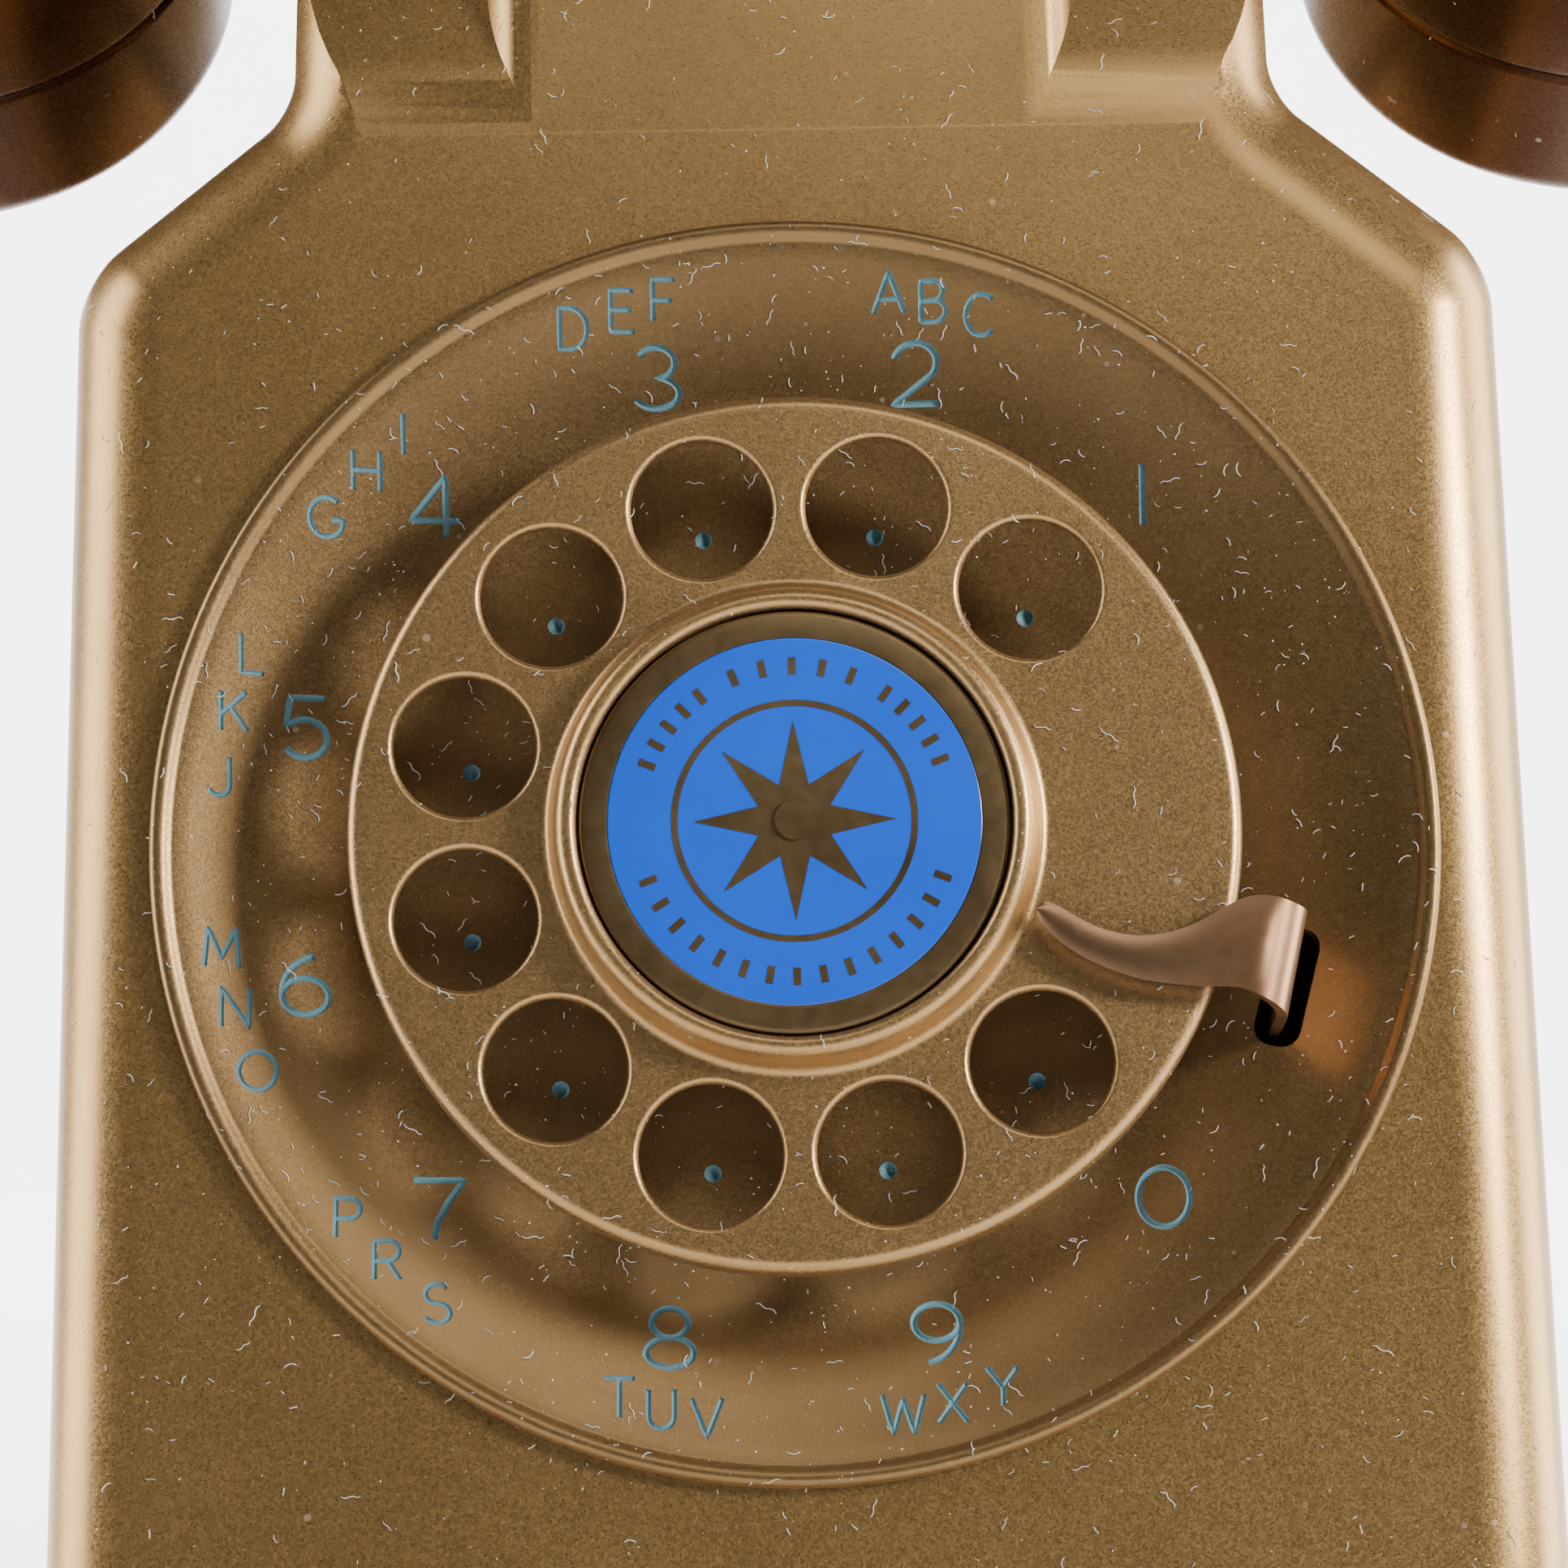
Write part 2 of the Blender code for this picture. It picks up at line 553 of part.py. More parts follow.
def makeRinger():
    channel = [(-0.052, -0.0022), (-0.052, -0.0120), (0.052, -0.0120), (0.052, -0.0022), (0.0505, -0.0022),
               (0.0505, -0.0105), (-0.0505, -0.0105), (-0.0505, -0.0022)]
    frame = outline("ringer_frame", channel, 0.066, steel, None, (0, 0, -0.0510))
    for side in (-1, 1):
        boolean(frame, rod("post_hole", 0.0016, 0.02, 10, spot=(side * gongX, -0.011, gongZ),
                           turn=alongY))
    boolean(frame, rod("pivot_hole", 0.0016, 0.02, 10, spot=(0, -0.011, clapperZ), turn=alongY))
    bell = [(0.0022, 0.0130), (0.0100, 0.0126), (0.0170, 0.0100), (0.0208, 0.0050), (0.0220, 0.0),
            (0.0208, 0.0), (0.0196, 0.0046), (0.0162, 0.0088), (0.0098, 0.0113), (0.0022, 0.0117),
            (0.0022, 0.0130)]
    for side, name in ((-1, "left"), (1, "right")):
        spot = (side * gongX, -0.0250, gongZ)
        turned("gong_" + name, bell, 20, brass, None, spot, alongY)
        post = [(0, 0.0114), (0.0030, 0.0114), (0.0030, -0.0125), (0.0013, -0.0125), (0.0013, -0.0148),
                (0, -0.0148)]
        turned("gong_post_" + name, post, 12, steel, None, spot, alongY)
        screw = [(0, 0.0160), (0.0026, 0.0158), (0.0034, 0.0148), (0.0034, 0.0133), (0.0018, 0.0133),
                 (0.0018, 0.0118), (0, 0.0118)]
        turned("gong_screw_" + name, screw, 12, steel, None, spot, alongY)
    bobbin = [(0.0027, 0.0170), (0.0100, 0.0170), (0.0100, 0.0155), (0.0088, 0.0155), (0.0088, -0.0155),
              (0.0100, -0.0155), (0.0100, -0.0170), (0.0027, -0.0170), (0.0027, 0.0170)]
    turned("ringer_coil", bobbin, 20, copper, None, (0, -0.0235, -0.0290), alongX)
    rod("ringer_core", 0.0023, 0.0440, 12, steel, None, (0, -0.0235, -0.0290), alongX)
    clapper = box("clapper", (0.0030, 0.0012, 0.0220), steel, None, (0, -0.0160, -0.0530))
    hub = rod("clapper_hub", 0.0032, 0.0080, 12, spot=(0, -0.0166, clapperZ), turn=alongY)
    boolean(clapper, hub, "UNION")
    ballSpot = (0, -0.0270, gongZ)
    bpy.ops.mesh.primitive_uv_sphere_add(segments=12, ring_count=8, radius=0.0024, location=ballSpot)
    ball = bpy.context.object
    ball.name = "clapper_ball"
    boolean(clapper, ball, "UNION")
    boolean(clapper, rod("clapper_neck", 0.0011, 0.0110, 8, spot=(0, -0.0215, gongZ), turn=alongY),
            "UNION")
    boolean(clapper, rod("clapper_bore", 0.0013, 0.03, 10, spot=(0, -0.0166, clapperZ), turn=alongY))
    rod("clapper_pin", 0.0010, 0.0120, 10, steel, None, (0, -0.0150, clapperZ), alongY)
    bpy.context.view_layer.update()
    pivot = Vector((0, -0.0160, clapperZ))
    clapper.data.transform(Matrix.Translation(clapper.location - pivot))
    clapper.location = pivot


def makeVolumeWheel():
    count = 18
    dots = []
    for k in range(count * 2):
        reach = 0.0090 if k % 2 else 0.0083
        at = math.pi * k / count
        dots.append((reach * math.cos(at), reach * math.sin(at)))
    wheel = outline("volume_wheel", dots, 0.0030, blackPlastic, None, volumeSpot, alongX)
    boolean(wheel, rod("volume_bore", 0.0014, 0.02, 10, spot=volumeSpot, turn=alongX))
    rod("volume_pin", 0.0010, 0.0110, 10, steel, None, volumeSpot, alongX)


def makeHookSwitch():
    pivotY = -0.0300
    pivotZ = 0.0620
    width = 0.0220
    cheek = [(-0.0022, 0.0450), (-0.0340, 0.0560), (-0.0340, 0.0660), (-0.0022, 0.0800)]
    bracket = outline("hook_bracket", cheek, width, steel)
    bracket.rotation_euler = sideOn
    boolean(bracket, box("bracket_gap", (width - 0.003, 0.05, 0.06), spot=(0, -0.0290, 0.0620)))
    boolean(bracket, rod("bracket_bore", 0.0014, 0.05, 10, spot=(0, pivotY, pivotZ), turn=alongX))
    place(bracket, steel, None, bracket.location, bracket.rotation_euler)
    arm = [(-0.0265, 0.0590), (-0.0265, 0.0650), (-0.0500, 0.0640), (-0.0565, 0.0660), (-0.0580, 0.0731),
           (-0.0645, 0.0731), (-0.0650, 0.0660), (-0.0600, 0.0600), (-0.0340, 0.0585)]
    lever = outline("hook_lever", arm, 0.0130, blackPlastic)
    lever.rotation_euler = sideOn
    boolean(lever, rod("lever_bore", 0.0014, 0.05, 10, spot=(0, pivotY, pivotZ), turn=alongX))
    place(lever, blackPlastic, None, lever.location, lever.rotation_euler)
    rod("hook_pin", 0.0011, 0.0250, 10, steel, None, (0, pivotY, pivotZ), alongX)
    for k in range(3):
        leaf = box("hook_contact_" + str(k + 1), (0.0050, 0.0004, 0.0220), copper, None,
                   (0.0175, -0.0060 - 0.0030 * k, 0.0560))
        boolean(leaf, rod("leaf_pip", 0.0012, 0.0012, 8, spot=(0.0175, -0.0064 - 0.0030 * k, 0.0640),
                          turn=alongY), "UNION")
    coil = []
    perTurn = 8
    turns = 5
    for k in range(turns * perTurn + 1):
        at = 2 * math.pi * k / perTurn
        coil.append((0.0022 * math.cos(at), -0.0052 - 0.0199 * k / (turns * perTurn),
                     pivotZ + 0.0022 * math.sin(at)))
    wire("hook_spring", coil, 0.0005, steel, sides=1)


# Handset ---------------------------------------------------------------------------------------

def makeHandset():
    """The handle is one body with a cup at each end; caps screw over the cups' threaded necks."""
    reach = handleReach
    grip = []
    for k in range(11):
        share = k / 10
        x = -cupX + 2 * cupX * share
        bow = 0.0045 * (1 - (2 * share - 1) ** 2)
        grip.append((x, 0, reach - 0.0045 + bow))
    handle = wire("handset_handle", grip, gripHalf, darkPaint, handsetFrame, sides=4)
    handle.data.transform(Matrix.Diagonal((1, gripWide / gripHalf, 1, 1)))
    for side in (-1, 1):
        cup = [(0, reach + 0.0080), (0.0130, reach + 0.0065), (0.0200, reach - 0.0010),
               (0.0248, reach - 0.0110), (0.0275, 0.0345), (cupRadius, 0.0275),
               (cupRadius, capTall + 0.0004), (0.0252, capTall + 0.0004), (0.0252, 0.0050),
               (0.0234, 0.0050), (0.0234, 0.0235), (0, 0.0235)]
        shell = turned("cup_form", cup, 24, None, handsetFrame, (side * cupX, 0, 0))
        boolean(handle, shell, "UNION")
    boolean(handle, rod("gland_hole", 0.0031, 0.02, 12, parent=handsetFrame, spot=(-cupX - 0.0265, 0, glandZ),
                        turn=alongX))
    gland = [(0.0016, 0.0060), (0.0034, 0.0060), (0.0042, 0.0040), (0.0042, 0.0004), (0.0028, 0.0004),
             (0.0028, -0.0040), (0.0016, -0.0040), (0.0016, 0.0060)]
    turned("handset_cord_gland", gland, 14, rubber, handsetFrame, (-cupX - cupRadius, 0, glandZ),
           (0, -math.pi / 2, 0))
    for side, name in ((-1, "transmitter"), (1, "receiver")):
        spot = (side * cupX, 0, 0)
        dish = -0.0012 if side < 0 else 0.0010
        makeCap(name, spot, dish)
        unit = [(0, 0.0200), (0.0150, 0.0200), (0.0205, 0.0140), (0.0215, 0.0075), (0.0215, 0.0036),
                (0, 0.0036)]
        turned(name + "_unit", unit, 28, steel, handsetFrame, spot)


def makeCap(name, spot, dish):
    profile = [(0, dish + 0.0022), (0.0190, 0.0024), (0.0248, 0.0028), (0.0255, 0.0040), (0.0255, capTall),
               (cupRadius, capTall), (cupRadius, 0.0030), (0.0277, 0.0008), (0.0260, 0.0),
               (0.0190, dish * 0.5), (0, dish)]
    cap = turned(name + "_cap", profile, 24, darkPaint, handsetFrame, spot)
    rings = ((0.0, 1), (0.0062, 6)) if name == "receiver" else ((0.0, 1), (0.0060, 6), (0.0120, 8))
    for radius, count in rings:
        for k in range(count):
            at = 2 * math.pi * k / count
            hole = rod("sound_hole", 0.0012, 0.02, 6, parent=handsetFrame,
                       spot=(spot[0] + radius * math.cos(at), radius * math.sin(at), 0))
            boolean(cap, hole)


makeHousing()
makeBackplate()
makeHousingFasteners()
makeNumberRing()
makeFingerWheel()
makeMedallion()
makeFingerStop()
makeDialWorks()
makePulseContacts()
makeNetwork()
makeRinger()
makeVolumeWheel()
makeHookSwitch()
makeHandset()
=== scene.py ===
import json
import math
import random

import bmesh
import bpy
from mathutils import Matrix, Vector


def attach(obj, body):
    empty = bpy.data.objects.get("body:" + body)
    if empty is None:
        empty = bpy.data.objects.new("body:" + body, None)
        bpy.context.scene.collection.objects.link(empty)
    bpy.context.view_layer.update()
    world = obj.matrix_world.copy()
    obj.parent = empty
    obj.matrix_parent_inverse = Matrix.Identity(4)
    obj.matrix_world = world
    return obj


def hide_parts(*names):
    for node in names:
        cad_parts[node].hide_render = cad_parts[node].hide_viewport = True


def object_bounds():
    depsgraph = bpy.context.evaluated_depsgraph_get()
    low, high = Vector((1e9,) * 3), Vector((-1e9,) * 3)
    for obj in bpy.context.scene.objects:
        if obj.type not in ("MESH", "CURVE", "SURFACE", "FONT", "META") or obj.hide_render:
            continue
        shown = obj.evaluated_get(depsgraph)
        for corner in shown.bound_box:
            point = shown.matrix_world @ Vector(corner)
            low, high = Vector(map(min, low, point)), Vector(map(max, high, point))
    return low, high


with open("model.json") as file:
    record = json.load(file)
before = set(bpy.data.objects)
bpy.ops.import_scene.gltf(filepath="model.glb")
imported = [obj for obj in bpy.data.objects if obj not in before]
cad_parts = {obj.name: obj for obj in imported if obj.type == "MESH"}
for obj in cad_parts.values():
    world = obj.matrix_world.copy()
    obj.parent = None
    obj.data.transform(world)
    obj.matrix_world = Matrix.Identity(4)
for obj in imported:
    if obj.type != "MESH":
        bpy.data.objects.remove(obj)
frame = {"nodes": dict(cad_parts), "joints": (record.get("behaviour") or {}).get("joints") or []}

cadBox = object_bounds()
joints = {j["name"]: j for j in frame["joints"]}
dialCentre = Vector(joints["dial_turn"]["pos_m"])
dialOut = -Vector(joints["dial_turn"]["axis"])
lean = math.asin(dialOut.z)
dialPlace = Matrix.Translation(dialCentre) @ Matrix.Rotation(math.pi / 2 - lean, 4, "X")
mm = 0.001


# small helpers

def clearSelection():
    if bpy.context.object and bpy.context.object.mode != "OBJECT":
        bpy.ops.object.mode_set(mode="OBJECT")
    bpy.ops.object.select_all(action="DESELECT")


def pick(*pieces):
    clearSelection()
    for piece in pieces:
        piece.select_set(True)
    bpy.context.view_layer.objects.active = pieces[0]
    return pieces[0]


def named(name):
    piece = bpy.context.object
    piece.name = name
    piece.data.name = name
    return piece


def addModifier(piece, kind, **values):
    step = piece.modifiers.new(kind.lower(), kind)
    for key, value in values.items():
        setattr(step, key, value)
    return step


def applyModifiers(piece):
    pick(piece)
    for step in list(piece.modifiers):
        bpy.ops.object.modifier_apply(modifier=step.name)
    return piece


def closeSeams(piece):
    # points that fall on each other after a cut become one
    pick(piece)
    bpy.ops.object.mode_set(mode="EDIT")
    bpy.ops.mesh.select_all(action="SELECT")
    bpy.ops.mesh.remove_doubles(threshold=0.000003)
    bpy.ops.mesh.dissolve_degenerate(threshold=0.000001)
    leaveEdit()


def cutWith(piece, cutter, how="DIFFERENCE", crossing=False, keep=False):
    addModifier(piece, "BOOLEAN", operation=how, object=cutter, solver="EXACT", use_self=crossing,
                material_mode="TRANSFER")
    applyModifiers(piece)
    closeSeams(piece)
    if not keep:
        bpy.data.objects.remove(cutter, do_unlink=True)
    return piece


def volumeOf(piece):
    work = bmesh.new()
    work.from_mesh(piece.data)
    volume = work.calc_volume(signed=True)
    work.free()
    return volume


def cutUntilSound(make, least, most):
    # a solid cut can turn itself inside out, so the piece is made again until its volume is right
    for turn in range(6):
        piece = make()
        if least < volumeOf(piece) < most:
            break
        print("made again:", piece.name)
        bpy.data.objects.remove(piece, do_unlink=True)
        piece = None
    return piece


def selectEdges(piece, wanted):
    # selects the edges for which wanted(first end, second end, sharpness) is true
    pick(piece)
    bpy.ops.object.mode_set(mode="EDIT")
    bpy.ops.mesh.select_mode(type="EDGE")
    bpy.ops.mesh.select_all(action="DESELECT")
    work = bmesh.from_edit_mesh(piece.data)
    count = 0
    for edge in work.edges:
        turn = edge.calc_face_angle(0) if len(edge.link_faces) == 2 else 0
        if wanted(edge.verts[0].co, edge.verts[1].co, math.degrees(turn)):
            edge.select_set(True)
            count += 1
    bmesh.update_edit_mesh(piece.data)
    return count


def leaveEdit():
    bpy.ops.object.mode_set(mode="OBJECT")


def putAt(piece, place):
    # moves a finished mesh to its place and leaves the object at the origin
    pick(piece)
    piece.matrix_world = place @ piece.matrix_world
    bpy.ops.object.transform_apply(location=True, rotation=True, scale=True)
    return piece


def smoothShade(piece, degrees=35, weighted=True):
    pick(piece)
    bpy.ops.object.shade_smooth_by_angle(angle=math.radians(degrees))
    if weighted:
        addModifier(piece, "WEIGHTED_NORMAL", keep_sharp=True, weight=100)
        applyModifiers(piece)
    return piece


def arc(cx, cy, radius, start, end, steps):
    return [(cx + radius * math.cos(math.radians(start + (end - start) * k / steps)),
             cy + radius * math.sin(math.radians(start + (end - start) * k / steps))) for k in range(steps + 1)]


def turnPiece(name, profile, sides=96):
    # a turned shape: each (radius, height) step is an extrusion of the ring before it
    loop = profile[0] == profile[-1]
    radius, height = profile[0]
    clearSelection()
    bpy.ops.mesh.primitive_circle_add(vertices=sides, radius=max(radius, 0.00002), location=(0, 0, height),
                                      fill_type="NOTHING" if loop else "NGON")
    piece = named(name)
    bpy.ops.object.transform_apply(location=True)
    bpy.ops.object.mode_set(mode="EDIT")
    bpy.ops.mesh.select_all(action="SELECT")
    for (r0, z0), (r1, z1) in zip(profile, profile[1:]):
        scale = max(r1, 0.00002) / max(r0, 0.00002)
        bpy.ops.mesh.extrude_region_move(TRANSFORM_OT_translate={"value": (0, 0, z1 - z0)})
        bpy.ops.transform.resize(value=(scale, scale, 1), center_override=(0, 0, z1))
    bpy.ops.mesh.select_all(action="SELECT")
    if loop:
        bpy.ops.mesh.remove_doubles(threshold=0.000002)
    bpy.ops.mesh.normals_make_consistent(inside=False)
    bpy.ops.object.mode_set(mode="OBJECT")
    return piece


def dress(piece, *materials):
    piece.data.materials.clear()
    for material in materials:
        piece.data.materials.append(material)
    return piece


def joinPieces(first, *others):
    pick(first, *others)
    bpy.ops.object.join()
    return first


# finishes

finishes = {}


def newGroup(name, inputs, outputs):
    group = bpy.data.node_groups.new(name, "ShaderNodeTree")
    for label, kind, default in inputs:
        socket = group.interface.new_socket(label, in_out="INPUT", socket_type=kind)
        socket.default_value = default
    for label, kind in outputs:
        group.interface.new_socket(label, in_out="OUTPUT", socket_type=kind)
    group.nodes.new("NodeGroupInput")
    group.nodes.new("NodeGroupOutput")
    return group


def node(tree, kind, values=None, **settings):
    made = tree.nodes.new(kind)
    for key, value in settings.items():
        setattr(made, key, value)
    for key, value in (values or {}).items():
        made.inputs[key].default_value = value
    return made


def ramp(tree, source, stops):
    made = node(tree, "ShaderNodeValToRGB")
    elements = made.color_ramp.elements
    while len(elements) < len(stops):
        elements.new(0.5)
    for element, (spot, colour) in zip(elements, stops):
        element.position = spot
        element.color = colour if len(colour) == 4 else (*colour, 1)
    tree.links.new(source, made.inputs["Fac"])
    return made.outputs["Color"]


def maths(tree, how, a, b=None, clamp=False):
    made = node(tree, "ShaderNodeMath", operation=how, use_clamp=clamp)
    for k, value in enumerate((a, b)):
        if value is None:
            continue
        if isinstance(value, (int, float)):
            made.inputs[k].default_value = value
        else:
            tree.links.new(value, made.inputs[k])
    return made.outputs[0]


def blendColour(tree, amount, a, b, how="MIX"):
    made = node(tree, "ShaderNodeMix", data_type="RGBA", blend_type=how)
    for key, value in (("Factor", amount), ("A", a), ("B", b)):
        index = {"Factor": 0, "A": 6, "B": 7}[key]
        if isinstance(value, (int, float)):
            made.inputs[index].default_value = value
        elif isinstance(value, tuple):
            made.inputs[index].default_value = value if len(value) == 4 else (*value, 1)
        else:
            tree.links.new(value, made.inputs[index])
    return made.outputs[2]


def speckGroup():
    # fine flakes, a soft mottle and settled dust, from the object's own coordinates
    group = newGroup("flakeAndDust", [("Scale", "NodeSocketFloat", 1.0), ("Dust", "NodeSocketFloat", 0.5)],
                     [("Flake", "NodeSocketFloat"), ("Mottle", "NodeSocketFloat"), ("Dust", "NodeSocketFloat"),
                      ("Height", "NodeSocketFloat")])
    source = group.nodes["Group Input"]
    sink = group.nodes["Group Output"]
    spot = node(group, "ShaderNodeTexCoord").outputs["Object"]
    sized = node(group, "ShaderNodeVectorMath", operation="SCALE")
    group.links.new(spot, sized.inputs[0])
    group.links.new(source.outputs["Scale"], sized.inputs["Scale"])
    flakes = node(group, "ShaderNodeTexVoronoi", {"Scale": 7500.0, "Randomness": 1.0})
    group.links.new(sized.outputs[0], flakes.inputs["Vector"])
    grain = node(group, "ShaderNodeTexNoise", {"Scale": 4200.0, "Detail": 3.0, "Roughness": 0.6})
    group.links.new(sized.outputs[0], grain.inputs["Vector"])
    mottle = node(group, "ShaderNodeTexNoise", {"Scale": 60.0, "Detail": 5.0, "Roughness": 0.65})
    group.links.new(sized.outputs[0], mottle.inputs["Vector"])
    single = node(group, "ShaderNodeSeparateColor")
    group.links.new(flakes.outputs["Color"], single.inputs[0])
    group.links.new(single.outputs[0], sink.inputs["Flake"])
    group.links.new(mottle.outputs[0], sink.inputs["Mottle"])
    specks = node(group, "ShaderNodeTexVoronoi", {"Scale": 420.0, "Randomness": 1.0})
    group.links.new(sized.outputs[0], specks.inputs["Vector"])
    chosen = node(group, "ShaderNodeSeparateColor")
    group.links.new(specks.outputs["Color"], chosen.inputs[0])
    rare = maths(group, "GREATER_THAN", chosen.outputs[1], 0.80)
    size = maths(group, "MULTIPLY", chosen.outputs[2], 0.16)
    dot = maths(group, "LESS_THAN", specks.outputs["Distance"], size)
    patch = node(group, "ShaderNodeTexNoise", {"Scale": 35.0, "Detail": 2.0})
    group.links.new(sized.outputs[0], patch.inputs["Vector"])
    where = node(group, "ShaderNodeMapRange", {"From Min": 0.42, "From Max": 0.62})
    group.links.new(patch.outputs[0], where.inputs["Value"])
    dust = maths(group, "MULTIPLY", maths(group, "MULTIPLY", rare, dot), where.outputs[0])
    group.links.new(maths(group, "MULTIPLY", dust, source.outputs["Dust"], True), sink.inputs["Dust"])
    group.links.new(grain.outputs[0], sink.inputs["Height"])
    return group


speckle = speckGroup()


def paintFinish(name, light, dark, roughness=0.36, metallic=0.85, grain=0.06, dust=0.12, coat=0.0, flake=0.12):
    # metallic paint: mottled colour, flakes that vary in brightness, a fine grain and dust specks
    material = bpy.data.materials.new(name)
    material.use_nodes = True
    tree = material.node_tree
    shader = tree.nodes["Principled BSDF"]
    spots = node(tree, "ShaderNodeGroup", {"Scale": 1.0, "Dust": dust}, node_tree=speckle)
    base = ramp(tree, spots.outputs["Mottle"], [(0.30, dark), (0.70, light)])
    bright = ramp(tree, spots.outputs["Flake"], [(0.0, (1 - flake,) * 3), (0.75, (1.0,) * 3), (1.0, (1 + flake,) * 3)])
    flaked = blendColour(tree, 1.0, base, bright, "MULTIPLY")
    dusted = blendColour(tree, spots.outputs["Dust"], flaked, (0.75, 0.74, 0.72))
    tree.links.new(dusted, shader.inputs["Base Color"])
    rough = node(tree, "ShaderNodeMapRange", {"To Min": roughness - 0.07, "To Max": roughness + 0.09})
    tree.links.new(spots.outputs["Flake"], rough.inputs["Value"])
    tree.links.new(maths(tree, "ADD", rough.outputs[0], spots.outputs["Dust"], True), shader.inputs["Roughness"])
    clean = maths(tree, "SUBTRACT", 1.0, spots.outputs["Dust"], True)
    tree.links.new(maths(tree, "MULTIPLY", clean, metallic), shader.inputs["Metallic"])
    bump = node(tree, "ShaderNodeBump", {"Strength": grain, "Distance": 0.0003})
    tree.links.new(spots.outputs["Height"], bump.inputs["Height"])
    tree.links.new(bump.outputs[0], shader.inputs["Normal"])
    shader.inputs["Coat Weight"].default_value = coat
    shader.inputs["Coat Roughness"].default_value = 0.25
    finishes[name] = material
    return material


def plainFinish(name, light, dark, roughness, metallic, scale=400.0, grain=0.1, stretch=(1, 1, 1), spread=0.15):
    # worked metal or moulded plastic: two tones, uneven gloss and a fine surface
    material = bpy.data.materials.new(name)
    material.use_nodes = True
    tree = material.node_tree
    shader = tree.nodes["Principled BSDF"]
    spot = node(tree, "ShaderNodeTexCoord").outputs["Object"]
    turned = node(tree, "ShaderNodeMapping", {"Scale": stretch})
    tree.links.new(spot, turned.inputs["Vector"])
    fine = node(tree, "ShaderNodeTexNoise", {"Scale": scale, "Detail": 6.0, "Roughness": 0.6})
    tree.links.new(turned.outputs[0], fine.inputs["Vector"])
    broad = node(tree, "ShaderNodeTexNoise", {"Scale": 45.0, "Detail": 4.0})
    tree.links.new(spot, broad.inputs["Vector"])
    tree.links.new(ramp(tree, broad.outputs[0], [(0.32, dark), (0.68, light)]), shader.inputs["Base Color"])
    rough = node(tree, "ShaderNodeMapRange", {"To Min": max(roughness - spread, 0.05), "To Max": roughness + spread})
    tree.links.new(fine.outputs[0], rough.inputs["Value"])
    tree.links.new(rough.outputs[0], shader.inputs["Roughness"])
    shader.inputs["Metallic"].default_value = metallic
    bump = node(tree, "ShaderNodeBump", {"Strength": grain, "Distance": 0.0003})
    tree.links.new(fine.outputs[0], bump.inputs["Height"])
    tree.links.new(bump.outputs[0], shader.inputs["Normal"])
    finishes[name] = material
    return material


goldPaint = paintFinish("goldPaint", (0.400, 0.246, 0.092), (0.345, 0.208, 0.076), roughness=0.33)
ringPaint = paintFinish("ringPaint", (0.250, 0.154, 0.064), (0.210, 0.127, 0.052), roughness=0.38, flake=0.10)
wheelPaint = paintFinish("wheelPaint", (0.430, 0.268, 0.112), (0.375, 0.230, 0.094), roughness=0.34, grain=0.09)
handsetPaint = paintFinish("handsetPaint", (0.050, 0.021, 0.009), (0.038, 0.015, 0.006), roughness=0.28, dust=0.3)
stopMetal = plainFinish("stopMetal", (0.36, 0.190, 0.095), (0.25, 0.145, 0.080), 0.33, 0.9, 900.0, 0.04, spread=0.06)
inkFill = plainFinish("inkFill", (0.10, 0.235, 0.275), (0.07, 0.17, 0.21), 0.6, 0.0, 2500.0, 0.3)
darkMetal = plainFinish("darkMetal", (0.20, 0.135, 0.060), (0.10, 0.064, 0.028), 0.38, 0.8, 700.0, 0.1)
blueEnamel = plainFinish("blueEnamel", (0.006, 0.085, 0.600), (0.005, 0.076, 0.560), 0.16, 0.0, 900.0, 0.02, spread=0.05)
agedBrass = plainFinish("agedBrass", (0.62, 0.44, 0.18), (0.42, 0.28, 0.11), 0.32, 1.0, 800.0, 0.06, (1, 1, 6))
copperWire = plainFinish("copperWire", (0.58, 0.26, 0.12), (0.42, 0.17, 0.08), 0.35, 1.0, 900.0, 0.2, (8, 1, 1))
zincSteel = plainFinish("zincSteel", (0.62, 0.61, 0.56), (0.44, 0.44, 0.42), 0.38, 1.0, 600.0, 0.08, (1, 8, 1))
blackPlastic = plainFinish("blackPlastic", (0.035, 0.034, 0.033), (0.018, 0.018, 0.018), 0.45, 0.0, 1500.0, 0.15)
darkRubber = plainFinish("darkRubber", (0.030, 0.028, 0.026), (0.015, 0.014, 0.013), 0.75, 0.0, 1800.0, 0.3)
lintWhite = plainFinish("lintWhite", (0.80, 0.79, 0.77), (0.62, 0.60, 0.57), 0.8, 0.0, 3000.0, 0.0)


# camera and lights

